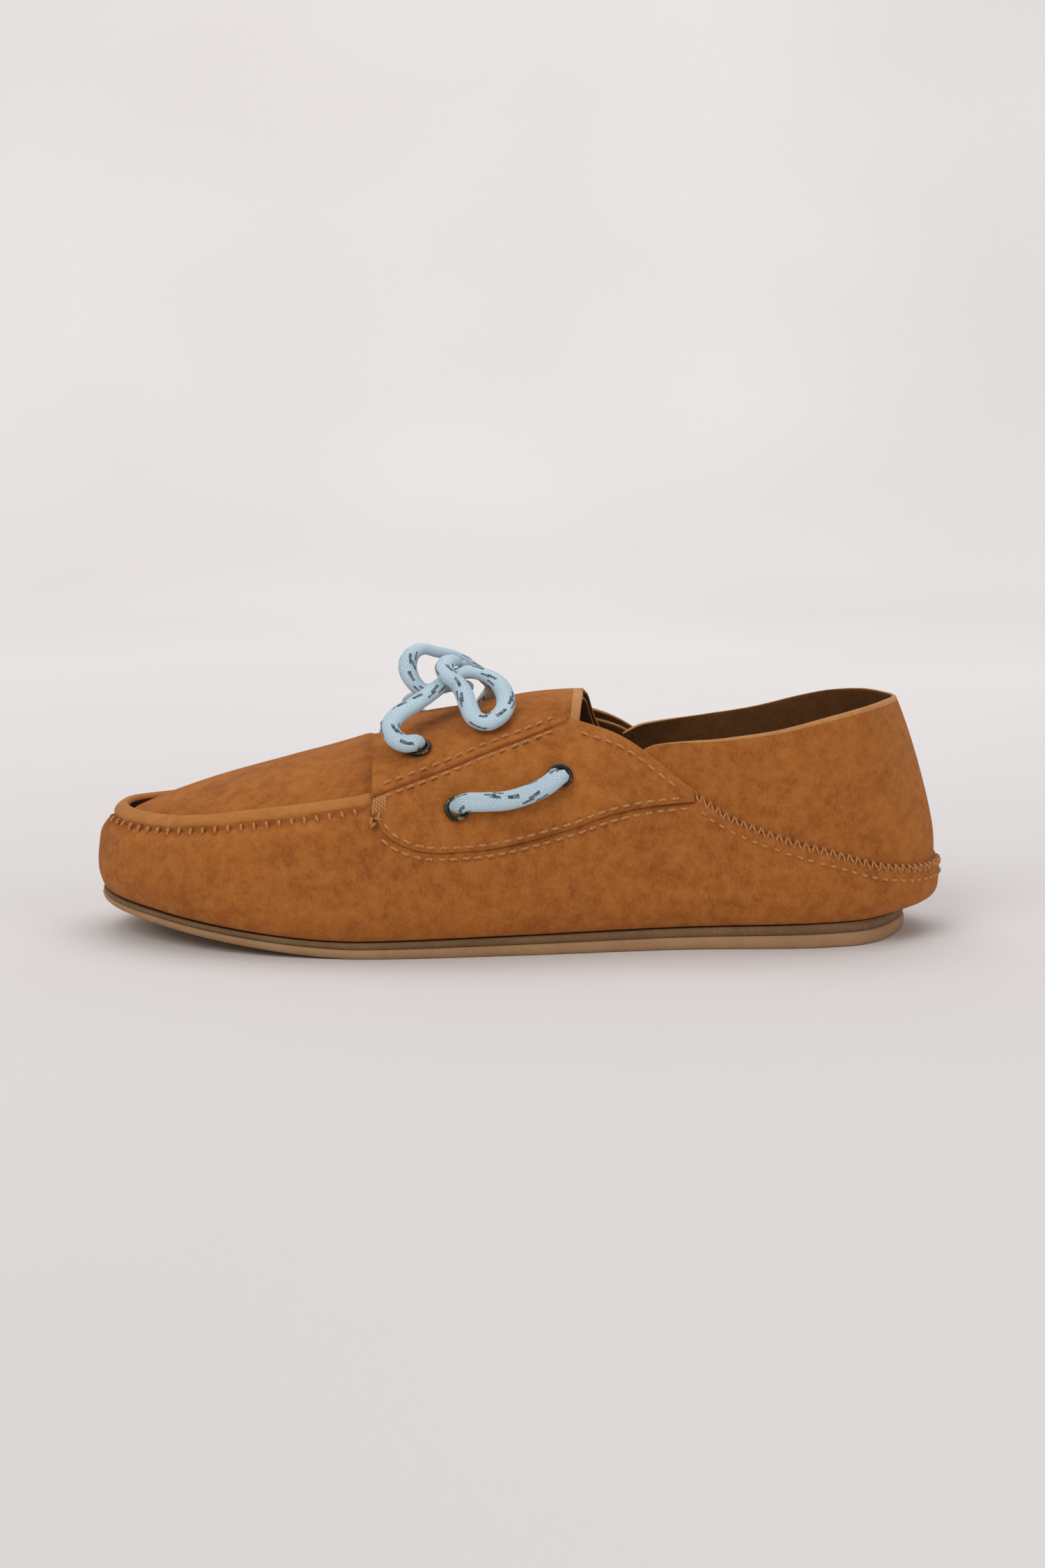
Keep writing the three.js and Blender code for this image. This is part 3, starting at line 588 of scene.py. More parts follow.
def braid(name, path, facing, width, thickness, material):
    """Sweep of a superellipse section, `width` by `thickness`, along the path. Its flat side looks
    along `facing`, and both may change along the path. The ends close in a small dome."""
    tangent = unit(np.gradient(path, axis=0))
    flat = unit(facing - (facing * tangent).sum(1, keepdims=True) * tangent)
    flat = unit(rolling_mean(flat, 4))
    side = unit(np.cross(tangent, flat))
    travelled = lengths_along(path)
    from_end = np.minimum(travelled, travelled[-1] - travelled)
    dome = np.sqrt(np.clip(1 - (1 - np.clip(from_end / DOME_LENGTH, 0, 1)) ** 2, 0.02, 1))
    turn = np.linspace(0, 2 * math.pi, LACE_CORNERS, endpoint=False)
    c, s = np.cos(turn), np.sin(turn)
    across = np.sign(c) * np.abs(c) ** 0.75
    through = np.sign(s) * np.abs(s) ** 0.85
    half_w = (dome * width / 2)[:, None, None]
    half_t = (dome * thickness / 2)[:, None, None]
    grid = (path[:, None] + half_w * across[None, :, None] * side[:, None]
            + half_t * through[None, :, None] * flat[:, None])
    faces = grid_faces(len(path), LACE_CORNERS, close_columns=True)
    count = len(path) * LACE_CORNERS
    points = np.vstack([grid.reshape(-1, 3), path[0], path[-1]])
    ring = np.arange(LACE_CORNERS)
    after = (ring + 1) % LACE_CORNERS
    last = count - LACE_CORNERS
    start_cap = np.stack([np.full_like(ring, count), ring, after], 1)
    end_cap = np.stack([np.full_like(ring, count + 1), last + after, last + ring], 1)
    round_share = np.abs(2 * ring / LACE_CORNERS - 1)
    uv = np.stack(np.broadcast_arrays(travelled[:, None], round_share[None, :]), -1).reshape(-1, 2)
    uv = np.vstack([uv, [0, 0.5], [travelled[-1], 0.5]])
    quads = outward_faces(grid, faces)
    flipped = quads[0, 0] != faces[0, 0]
    caps = [start_cap[:, ::-1], end_cap[:, ::-1]] if flipped else [start_cap, end_cap]
    all_faces = quads.tolist() + caps[0].tolist() + caps[1].tolist()
    return make_object(name, points, all_faces, [material], uv=uv)


# %% Lace routes
# Each bow lace runs from inside its front eyelet to its tip; each side lace from the same eyelet,
# out and in through the two side eyelets, to its end inside. Points are [x, y, z] in metres.
BOW_LATERAL = [
    [-0.0283, -0.0280, 0.0575], [-0.0288, -0.0296, 0.0592], [-0.0321, -0.0312, 0.0593],
    [-0.0349, -0.0312, 0.0607], [-0.0364, -0.0295, 0.0636], [-0.0345, -0.0260, 0.0665],
    [-0.0304, -0.0220, 0.0688], [-0.0263, -0.0185, 0.0712], [-0.0226, -0.0155, 0.0737],
    [-0.0190, -0.0130, 0.0760], [-0.0147, -0.0115, 0.0773], [-0.0098, -0.0125, 0.0765],
    [-0.0056, -0.0160, 0.0741], [-0.0038, -0.0200, 0.0699], [-0.0053, -0.0248, 0.0666],
    [-0.0093, -0.0268, 0.0646], [-0.0127, -0.0258, 0.0658], [-0.0146, -0.0228, 0.0692],
    [-0.0158, -0.0200, 0.0722], [-0.0175, -0.0182, 0.0746], [-0.0198, -0.0176, 0.0764],
    [-0.0214, -0.0150, 0.0784], [-0.0203, -0.0110, 0.0803], [-0.0179, -0.0081, 0.0805],
]
BOW_MEDIAL = [
    [-0.0282, 0.0273, 0.0575], [-0.0287, 0.0289, 0.0592], [-0.0309, 0.0304, 0.0604],
    [-0.0328, 0.0292, 0.0622], [-0.0324, 0.0254, 0.0644], [-0.0302, 0.0208, 0.0664],
    [-0.0266, 0.0160, 0.0684], [-0.0226, 0.0112, 0.0702], [-0.0188, 0.0058, 0.0712],
    [-0.0162, 0.0006, 0.0712], [-0.0160, -0.0050, 0.0728], [-0.0191, -0.0085, 0.0739],
    [-0.0230, -0.0110, 0.0728], [-0.0272, -0.0120, 0.0720], [-0.0305, -0.0110, 0.0746],
    [-0.0321, -0.0090, 0.0785], [-0.0308, -0.0070, 0.0821], [-0.0277, -0.0055, 0.0835],
    [-0.0243, -0.0045, 0.0826], [-0.0205, -0.0035, 0.0817], [-0.0165, -0.0022, 0.0801],
    [-0.0130, -0.0005, 0.0773], [-0.0096, 0.0042, 0.0742], [-0.0080, 0.0092, 0.0723],
    [-0.0072, 0.0142, 0.0704], [-0.0074, 0.0188, 0.0686], [-0.0086, 0.0232, 0.0662],
    [-0.0104, 0.0270, 0.0634],
]
SIDE_LATERAL = [
    [-0.0282, -0.0276, 0.0569], [-0.0277, -0.0257, 0.0536], [-0.0258, -0.0273, 0.0494],
    [-0.0224, -0.0312, 0.0440], [-0.0188, -0.0342, 0.0399], [-0.0177, -0.0374, 0.0405],
    [-0.0174, -0.0414, 0.0428], [-0.0152, -0.0436, 0.0445], [-0.0100, -0.0429, 0.0446],
    [-0.0040, -0.0414, 0.0447], [0.0020, -0.0409, 0.0463], [0.0072, -0.0398, 0.0486],
    [0.0106, -0.0383, 0.0510], [0.0113, -0.0354, 0.0504], [0.0108, -0.0308, 0.0482],
    [0.0108, -0.0284, 0.0453], [0.0126, -0.0282, 0.0425],
]
SIDE_MEDIAL = [
    [-0.0281, 0.0269, 0.0569], [-0.0278, 0.0248, 0.0536], [-0.0258, 0.0261, 0.0494],
    [-0.0224, 0.0294, 0.0440], [-0.0190, 0.0322, 0.0399], [-0.0178, 0.0356, 0.0407],
    [-0.0172, 0.0396, 0.0428], [-0.0149, 0.0418, 0.0443], [-0.0100, 0.0406, 0.0446],
    [-0.0040, 0.0389, 0.0447], [0.0020, 0.0381, 0.0463], [0.0073, 0.0367, 0.0486],
    [0.0108, 0.0352, 0.0510], [0.0114, 0.0322, 0.0504], [0.0108, 0.0278, 0.0482],
    [0.0108, 0.0256, 0.0453], [0.0126, 0.0252, 0.0425],
]
AGLET_LATERAL = [[-0.0171, -0.0072, 0.0798], [-0.0153, -0.0062, 0.0778], [-0.0136, -0.0054, 0.0752]]
AGLET_MEDIAL = [[-0.0105, 0.0273, 0.0632], [-0.0126, 0.0306, 0.0598], [-0.0146, 0.0334, 0.0567]]

# %% Sweep the laces
INSTEP_AXIS_Z = 37
EYELET_PINCH = 0.88


def from_instep(path):
    """Direction from the instep's axis, along which the lace's flat side looks."""
    away = path - np.array([0, 0, INSTEP_AXIS_Z])
    away[:, 0] = 0
    return unit(away)


def pinched(path, holes):
    """1 along the open lace, falling to the pinch inside each eyelet hole."""
    nearest = np.min([np.linalg.norm(path - hole, axis=1) for hole in holes], axis=0)
    return EYELET_PINCH + (1 - EYELET_PINCH) * smooth(1.5, 6.5, nearest)


def lace(name, node, route, holes, material=BRAID, width=LACE_WIDTH,
         thickness=LACE_THICKNESS):
    """One lace in place of a CAD node, along its route, with its flat side off the instep. Returns
    the piece and its path in metres."""
    path = smooth_route(np.array(route) / MM)
    pinch = pinched(path, holes) if len(holes) else np.ones(len(path))
    made = braid(name, path, from_instep(path), width * pinch, thickness * pinch, material)
    stand_in(made, node)
    print(name, "length in mm", round(lengths_along(path)[-1], 1))
    return made, path * MM


def eyelet_centre(name):
    low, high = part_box(name)
    return np.array((low + high) / 2) / MM


for half, bow_route, side_route, tip_route in (
    ("lateral", BOW_LATERAL, SIDE_LATERAL, AGLET_LATERAL),
    ("medial", BOW_MEDIAL, SIDE_MEDIAL, AGLET_MEDIAL),
):
    front = [eyelet_centre(f"eyelet_front_{half}")]
    side_holes = [eyelet_centre(f"eyelet_side_{place}_{half}") for place in ("front", "rear")]
    bow, bow_path = lace(f"bow_braid_{half}", f"bow_lace_{half}", bow_route, front)
    lace(f"side_braid_{half}", f"side_lace_{half}", side_route, front + side_holes)
    tip, _ = lace(f"film_tip_{half}", f"aglet_{half}", tip_route, [], TIP_FILM,
                  TIP_WIDTH, TIP_THICKNESS)


# %% [markdown]
# ## Sheets of leather
# Each piece of suede is a thin solid: its outer face and its back are two copies of one grid,
# moved along the grid's normals to the two distances of its layer, and joined by a strip round
# the border that shows the pale cut edge. The outer face is worked further: a `lift` adds
# seams, puckers and the slow waves that soft leather has. The grids are finer towards a border,
# so that the cut edge can round over.

# %% Grids, normals and sheets
EDGE_ROUND = 0.45
FRONT, EDGE, LIP = 0, 2, 3  # a sheet's material slots, with 1 for its back


def knots(count, first, last=None):
    """Shares 0 to 1 along a direction, with a narrow first and last cell for the rounded edges."""
    last = first if last is None else last
    return np.concatenate([[0], np.linspace(first, 1 - last, count), [1]])


def grid_normals(points, closed):
    """Unit normals of a grid, from central differences; a closed grid wraps round its rows."""
    if closed:
        along = np.roll(points, -1, 0) - np.roll(points, 1, 0)
    else:
        along = np.gradient(points, axis=0)
    across = np.gradient(points, axis=1)
    normal = unit(np.cross(along, across))
    middle = np.array([0, 0, 15.0])
    return normal if (normal * (points - middle)).sum() > 0 else -normal


def slow_waves(points, size, seed):
    """Waves of a soft sheet, -1 to 1: the mean of four sines in directions drawn from the seed."""
    rng = np.random.default_rng(seed)
    directions = unit(rng.normal(size=(4, 3)))
    phases = rng.uniform(0, 2 * math.pi, 4)
    lengths = size * rng.uniform(0.7, 1.5, 4)
    angles = points @ directions.T * (2 * math.pi / lengths) + phases
    return np.sin(angles).mean(-1)


def sheet(name, points, layer, lift=0.0, closed=False, materials=(SUEDE, FLESH, CUT_EDGE),
          back_lift=0.0, worn=(0, 0)):
    """Thin solid on a grid of points: layer is (back, front) in mm off the grid. Every border row
    of the front is sunk by EDGE_ROUND, so the cut edge looks soft. `worn` counts the cells of the
    front that are worn pale at the last row and the last column."""
    rows, columns = points.shape[:2]
    normal = grid_normals(points, closed)
    back, front = layer
    sink = np.zeros((rows, columns))
    sink[:, [0, -1]] = EDGE_ROUND
    if not closed:
        sink[[0, -1], :] = EDGE_ROUND
    outer = points + normal * (front + lift - sink)[..., None]
    inner = points + normal * (back + back_lift + 0.25 * sink)[..., None]
    count = rows * columns
    faces = [grid_faces(rows, columns, close_rows=closed)]
    faces.append(grid_faces(rows, columns, close_rows=closed, first=count)[:, ::-1])
    i = np.arange(rows if closed else rows - 1)
    after = (i + 1) % rows
    borders = [(i * columns, after * columns), (after * columns + columns - 1, i * columns + columns - 1)]
    if not closed:
        j = np.arange(columns - 1)
        borders += [(j + 1, j), ((rows - 1) * columns + j, (rows - 1) * columns + j + 1)]
    for a, b in borders:
        faces.append(np.stack([b, a, a + count, b + count], 1))
    slots = np.concatenate([np.full(len(f), min(k, EDGE)) for k, f in enumerate(faces)])
    front_face = slots[: len(faces[0])].reshape(-1, columns - 1)
    front_face[len(front_face) - worn[0]:] = EDGE
    front_face[:, columns - 1 - worn[1]:] = EDGE
    both = np.concatenate([outer.reshape(-1, 3), inner.reshape(-1, 3)])
    turned = outward_faces(both, np.concatenate(faces))
    made = make_object(name, both, turned.tolist(), materials, slots)
    print(name, len(turned) * 2, "triangles")
    return made


# %% [markdown]
# ## The lower vamp and the raised toe seam
# One strip of suede wraps the whole shoe. Round the toe its top edge is turned in to a rounded
# lip, and the thread that holds the plug pulls short puckers below the lip. Where the saddle
# is sewn on, the vamp swells to meet it, so the seam reads as a groove between two rows of
# stitches. Behind the saddle the edge falls to the heel in a shallow scallop.

# %% Edges and seam lines of the upper
LIP_HEIGHT = [(-125, 37.6), (-112, 37.2), (-98, 37.8), (-80, 40), (-60, 42.7), (-41, 45.8)]
PLUG_RIDGE = [(-120, 32.6), (-110, 37.4), (-100, 41.4), (-86, 46), (-67, 51), (-52, 54.9),
              (-40.7, 58.4)]
STAY_LOW = [(-41, 44.2), (-30, 47.9), (-19, 51.7), (-10, 55), (-1, 58), (5, 60), (11, 62.1),
            (14, 63.2)]
SADDLE_LOW = [(-40, 39.2), (-37.5, 35.4), (-33, 32.5), (-26, 30.5), (-15, 30.5), (-5, 31.6),
              (14, 36), (24, 39.2), (36, 41.6), (49, 43.1)]
SADDLE_HIGH = [(-40, 49.1), (-28, 53), (-19, 56.2), (-8, 59.7), (2, 62.5), (9, 64), (14, 64.2),
               (31, 58.9), (49, 46.1)]
VAMP_HIGH = [(-41, 44.7), (-30, 47.5), (-19, 51), (-10, 54.3), (-1, 57.2), (11, 61.3), (16, 61.7),
             (31, 57.6), (45, 47.7), (50, 44.1), (58, 38.7), (68, 34.3), (79, 30.5), (90, 27.3),
             (101, 23.7), (114, 21.4), (125, 21)]
COLLAR_HEIGHT = [(31, 55.4), (38, 59.1), (57, 60.7), (72, 62.8), (86, 66), (97, 68.2),
                 (111, 69.9), (125, 70.3)]
VAMP_LAYER = (-1.5, 0.0)
SADDLE_LAYER = (0.25, 1.35)
STAY_LAYER = (1.5, 2.75)
STITCH_PITCH = 3.6
ROW_GAP = 1.35
LIP_ROUND = 0.62  # length of the lip's seam for one radian of station angle, over HALF_LENGTH


def vamp_top(x):
    return np.where(x < -41, curve(LIP_HEIGHT, x), curve(VAMP_HIGH, x))


def pucker_wave(angle):
    """0 to 1, once for each stitch of the lip's seam: the mean of 1 and a cosine."""
    return 0.5 + 0.5 * np.cos(2 * math.pi * angle * HALF_LENGTH * LIP_ROUND / STITCH_PITCH)


def saddle_line(count=220):
    """The saddle's front and lower edge, from the lip to the heel seam, as [x, z] points."""
    x = np.concatenate([np.full(12, -40.0), np.linspace(-40, 49, count)])
    z = np.concatenate([np.linspace(41.2, 36, 12, endpoint=False), curve(SADDLE_LOW, x[12:])])
    return np.column_stack([x, z])


def distance_to(line, x, z):
    """Distance from each (x, z) to a line of points close together."""
    gap = (np.asarray(x)[..., None] - line[:, 0]) ** 2 + (np.asarray(z)[..., None] - line[:, 1]) ** 2
    return np.sqrt(gap.min(-1))


SADDLE_EDGE = saddle_line()


def vamp_lift(side, angle, z):
    """How far the vamp's face stands off the last: the lip with its groove and puckers round the
    toe, the swell below the saddle, and the slow waves."""
    x = np.broadcast_to(-HALF_LENGTH * np.cos(angle), np.broadcast_shapes(np.shape(angle), np.shape(z)))
    below_rim = vamp_top(x) - z
    toe = 1 - smooth(-43.5, -40, x)
    bead = 1.0 * np.sqrt(np.clip(1 - ((below_rim - 1.4) / 1.8) ** 2, 0, 1))
    groove = -0.8 * np.exp(-(((below_rim - 3.6) / 0.6) ** 2))
    pucker = -0.5 * np.exp(-(((below_rim - 4.8) / 1.3) ** 2)) * pucker_wave(angle)
    roll = 0.7 * np.exp(-(((below_rim - 7.8) / 3.0) ** 2))
    in_saddle = (x > -40) & (x < 49) & (z > curve(SADDLE_LOW, x))
    off = np.where(in_saddle, -1, 1) * distance_to(SADDLE_EDGE, x, z)
    swell = 1.05 * smooth(-0.3, 1.7, off) * np.exp(-((np.maximum(0, off - 1.5) / 8.5) ** 2))
    swell = swell * (1 - smooth(52, 62, x)) * smooth(-46, -40, x)
    flat = wall(side, angle, z)
    waves = 0.35 * slow_waves(flat, 34, 4) * smooth(0, 8, below_rim) * smooth(0, 7, z - sole_top(x))
    pulled = np.exp(-(((off - ROW_GAP - 0.3) / 0.8) ** 2)) * np.cos(2 * math.pi * x / STITCH_PITCH)
    pulled = 0.36 * pulled * smooth(-44, -38, x) * (1 - smooth(44, 48, x))
    return toe * (bead + groove + pucker + roll) + swell + waves + pulled


# %% Make the vamp
VAMP_COLUMNS = 760
LIP_DEPTH = 3.1
LIP_END_X = -41.5


def ring_angles(count, shift=0.0):
    """Side and station angle of evenly numbered columns round the shoe: toe, lateral, heel, medial.
    A shift of 0.5 keeps every column off the two tips."""
    share = (np.arange(count) + shift) / count
    side = np.where(share < 0.5, -1, 1)
    t = np.where(share < 0.5, 2 * share, 2 - 2 * share)
    return side[:, None], (math.pi * (t - 0.045 * np.sin(2 * math.pi * t)))[:, None]


def make_vamp():
    """Ribs from the sole to the top edge, closer together near the lip."""
    side, angle = ring_angles(VAMP_COLUMNS)
    rise = np.concatenate([[0, 0.015], np.linspace(0.05, 0.70, 15), np.linspace(0.715, 0.985, 21), [1]])
    x = -HALF_LENGTH * np.cos(angle)
    low = sole_top(x) + 0.15
    scallop = 0.3 * np.cos(2 * math.pi * angle * HALF_LENGTH * 0.8 / 2.7) * smooth(44, 52, x)
    high = vamp_top(x) + scallop
    z = low + (high - low) * rise[None, :]
    points = wall(side, angle, z)
    lift = vamp_lift(side, angle, z)
    made = sheet("vamp", points, VAMP_LAYER, lift, closed=True,
                    materials=(SUEDE, FLESH, CUT_EDGE, LIP_SUEDE))
    on_lip = ((vamp_top(x) - z) < LIP_DEPTH) & (x < LIP_END_X)
    corner = on_lip[:, :-1] & on_lip[:, 1:]
    slots = np.zeros(len(made.data.polygons), np.int32)
    made.data.polygons.foreach_get("material_index", slots)
    outside = slots == FRONT
    slots[outside] = np.where(corner.ravel(), LIP, FRONT)
    rim = slots == EDGE
    on_rim = np.concatenate([np.zeros(len(z), bool), (x < LIP_END_X).ravel()])
    slots[rim] = np.where(on_rim, LIP, EDGE)
    made.data.polygons.foreach_set("material_index", slots)
    stand_in(made, "lower_vamp")


make_vamp()

# %% [markdown]
# ## The plug
# The plug is the apron on top of the toes, sewn inside the lip. It starts a little below the
# lip's rim, rises in a full arch and runs back under the tongue. A ridge height for each station
# and a superellipse across give its form.

# %% Make the plug
PLUG_EDGE_INSIDE = 1.35
PLUG_BELOW_RIM = 2.6
PLUG_BACK_X = -38.4


def make_plug():
    """Across each station: z = low + (ridge - low) * (1 - |s|^p), with s from -1 to 1."""
    first, last = 0.15, float(station(PLUG_BACK_X))
    angle = (first + (last - first) * knots(110, 0.006))[:, None]
    s = (2 * knots(90, 0.004) - 1)[None, :]
    x = -HALF_LENGTH * np.cos(angle)
    rim = curve(LIP_HEIGHT, np.minimum(x, -41))
    ends = []
    for side in (-1, 1):
        nx, ny = outward(side, angle)
        edge = wall(side, angle, rim)
        ends.append(edge - PLUG_EDGE_INSIDE * np.stack([nx, ny, np.zeros_like(nx)], -1))
    share = ((s + 1) / 2)[..., None]
    points = ends[0] * (1 - share) + ends[1] * share
    low = rim - PLUG_BELOW_RIM
    ridge = curve(PLUG_RIDGE, points[..., 0])
    points[..., 2] = low + np.maximum(0, ridge - low) * (1 - np.abs(s) ** 2.5)
    tucked = smooth(-44.5, -42, points[..., 0])
    points[..., 2] -= 0.9 * tucked + 0.8 * smooth(-40.6, PLUG_BACK_X, points[..., 0])
    waves = 0.35 * slow_waves(points, 42, 9)
    puckers = -0.22 * np.exp(-(((1 - np.abs(s)) / 0.07) ** 2)) * pucker_wave(angle)
    made = sheet("toe_plug", points, (-1.4, 0.0), waves + puckers)
    stand_in(made, "plug")


make_plug()

# %% [markdown]
# ## Saddle and eyestay
# The saddle lies on each side of the instep and carries the side eyelets; the leaf-shaped
# eyestay lies over its top and carries the front eyelet. Both lie on the last's surface
# between a lower and an upper line. Round each eyelet the sheet is pressed down in a dish, under
# the flange. It has no hole there: the lace goes through it inside the ring, out of sight.

# %% Make the overlays
EYELETS = {"front": (-28, 55.2), "side_front": (-17.6, 41.6), "side_rear": (11, 49.7)}
THROAT_HALF_WIDTH = [(-41, 11), (-28, 13), (-8, 17), (14, 19)]
STAY_TIP_X = 13.6
HALVES = {"lateral": -1, "medial": 1}
DISH_DEPTH = 0.5
DISH_RADIUS = 4.6


def dish(away):
    """Depth of the dish at a distance from the eyelet's middle: -d * exp(-(r / R)^4)."""
    return -DISH_DEPTH * np.exp(-((away / DISH_RADIUS) ** 4))


def eyelet_dimple(x, z, places):
    """The leather is pressed down in a shallow dish round each eyelet."""
    return sum(dish(np.hypot(x - EYELETS[p][0], z - EYELETS[p][1])) for p in places)


def saddle_lift(side, x, z):
    """The saddle's face: a soft swell inside its edge, the dishes of its eyelets, a groove along the
    eyestay's edge, and slow waves."""
    low = curve(SADDLE_LOW, x)
    inside = np.minimum(z - low, distance_to(SADDLE_EDGE, x, z))
    swell = 0.25 * smooth(0, 3.5, inside)
    waves = 0.22 * slow_waves(np.stack([x, np.full_like(x, side * 30.0), z], -1), 26, 12)
    by_stay = (z - curve(STAY_LOW, x)) * (x < STAY_TIP_X)
    meet = 1.0 * np.exp(-(((by_stay + 1.6) / 4.5) ** 2)) * (x < STAY_TIP_X) * (1 - smooth(8, 13.6, x))
    from_row = np.minimum(np.abs(inside - ROW_GAP), np.abs(by_stay + ROW_GAP) + 9 * (x > STAY_TIP_X))
    pulled = 0.2 * np.exp(-((from_row / 0.8) ** 2)) * np.cos(2 * math.pi * x / STITCH_PITCH)
    meeting = meet * (1 - smooth(-1.2, 0.2, by_stay))
    return swell + waves + pulled + meeting + eyelet_dimple(x, z, EYELETS)


def make_saddle(half, side):
    x = (-40 + 89 * knots(130, 0.004))[:, None]
    rise = knots(44, 0.016)[None, :]
    low = curve(SADDLE_LOW, x)
    high = curve(SADDLE_HIGH, x)
    z = low + (high - low) * rise
    x = np.broadcast_to(x, z.shape)
    points = wall(side, station(x), z)
    made = sheet(f"saddle_overlay_{half}", points, SADDLE_LAYER, saddle_lift(side, x, z))
    stand_in(made, f"saddle_{half}")


def stay_lift(x, y, side):
    """The eyestay's face: a soft swell and the dish of the front eyelet."""
    waves = 0.2 * slow_waves(np.stack([x, y, arch(x, y)], -1), 24, 15)
    hole = wall(side, station(EYELETS["front"][0]), EYELETS["front"][1])
    near = np.hypot(x - hole[0], (y - hole[1]) * 1.25)
    return waves + dish(near)


def stay_grid(side, lengthwise, across):
    """Points of the eyestay by two shares: from the front edge to the tip, and from the lower edge
    up to the throat. The front corner at the throat is cut round."""
    corner = 3.5 * smooth(0.72, 1.0, across) ** 2
    front = -41 + corner
    x = front + (STAY_TIP_X - front) * lengthwise
    low = np.abs(wall(side, station(x), curve(STAY_LOW, x))[..., 1])
    high = np.minimum(curve(THROAT_HALF_WIDTH, x), low - 0.8)
    y = side * (low + (high - low) * across)
    return x, y


def make_eyestay(half, side):
    x, y = stay_grid(side, knots(96, 0.007)[:, None], knots(40, 0.022)[None, :])
    points = np.stack([x, y, arch(x, y)], -1)
    made = sheet(f"eyestay_overlay_{half}", points, STAY_LAYER, stay_lift(x, y, side))
    stand_in(made, f"eyestay_{half}")


for half, side in HALVES.items():
    make_saddle(half, side)
    make_eyestay(half, side)

# %% [markdown]
# ## The tongue
# The tongue is two sheets, suede outside and its flesh side to the foot, sewn under the front of
# the throat and free at the rear.

# %% Make the tongue
TONGUE_HALF_WIDTH = [(-41, 16.5), (-28, 18.5), (-10, 21), (0, 23), (15, 25.5), (30, 26.5)]
TONGUE_FRONT_X = -40.2
TONGUE_REAR_X = {"lateral": 15, "crown": 19, "medial": 28}
TONGUE_DROP = 3.9


def make_tongue(name, layer, node, extra, front):
    """Lengthwise share from the front edge to the rear one, which runs back from the lateral corner
    to the medial one; the rear corners drop inside the toplines. `extra` moves the rear edge."""
    s = (2 * knots(84, 0.006) - 1)[None, :]
    corner = np.where(s < 0, TONGUE_REAR_X["lateral"], TONGUE_REAR_X["medial"])
    rear = TONGUE_REAR_X["crown"] + (corner - TONGUE_REAR_X["crown"]) * s**2 + extra
    x = TONGUE_FRONT_X + (rear - TONGUE_FRONT_X) * knots(100, 0.006)[:, None]
    y = s * curve(TONGUE_HALF_WIDTH, x)
    drop = TONGUE_DROP * smooth(-12, 5, x) * smooth(12, 20, np.abs(y))
    points = np.stack([x, y, arch(x, y) - drop], -1)
    lift = 0.3 * slow_waves(points, 30, 21) * smooth(-36, -20, x)
    made = sheet(name, points, layer, lift, materials=(front, FLESH, CUT_EDGE),
                 back_lift=lift, worn=(5, 0))
    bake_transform(made)
    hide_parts(node)


make_tongue("tongue_face", (0.3, 1.55), "tongue_outer", 0.0, SUEDE)
make_tongue("tongue_underside", (-1.35, -0.15), "tongue_lining", -0.8, FLESH)

# %% [markdown]
# ## The heel quarter
# The back of the shoe is one soft layer, sewn inside the vamp's edge and free at the collar, so
# that the heel can be trodden down. Its collar is a raw cut edge.

# %% Make the heel quarter
QUARTER_LAYER = (-2.85, -1.65)
QUARTER_FRONT_X = 32
SEAM_OVERLAP = 7


def make_quarter():
    """Ribs round the heel from below the vamp's edge to the collar."""
    start = float(station(QUARTER_FRONT_X))
    t = knots(300, 0.0015)
    side = np.where(t < 0.5, -1, 1)[:, None]
    angle = (start + (math.pi - start) * (1 - np.abs(1 - 2 * t)))[:, None]
    x = -HALF_LENGTH * np.cos(angle)
    high = curve(COLLAR_HEIGHT, x)
    low = np.maximum(curve(VAMP_HIGH, x) - SEAM_OVERLAP, sole_top(x) + 3)
    rise = knots(60, 0.010)[None, :]
    z = low + (high - low) * rise
    points = wall(side, angle, z)
    free = smooth(0, 12, z - curve(VAMP_HIGH, x))
    waves = 0.75 * slow_waves(points, 40, 33) * free
    made = sheet("heel_back", points, QUARTER_LAYER, waves, back_lift=waves, worn=(0, 2))
    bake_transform(made)
    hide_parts("heel_quarter")


make_quarter()

# %% [markdown]
# ## Stitches
# Every stitch is a short thread that rises from one hole, crosses the leather and sinks into the
# next. One template of 38 faces is bent over each stitch's own start, end and surface normal,
# all at once as arrays. Seams are double rows along the saddle and the eyestay, short upright
# stitches under the lip, and a zigzag that binds the vamp's edge to the heel quarter.

# %% Stitch maker
THREAD_RADIUS = 0.42


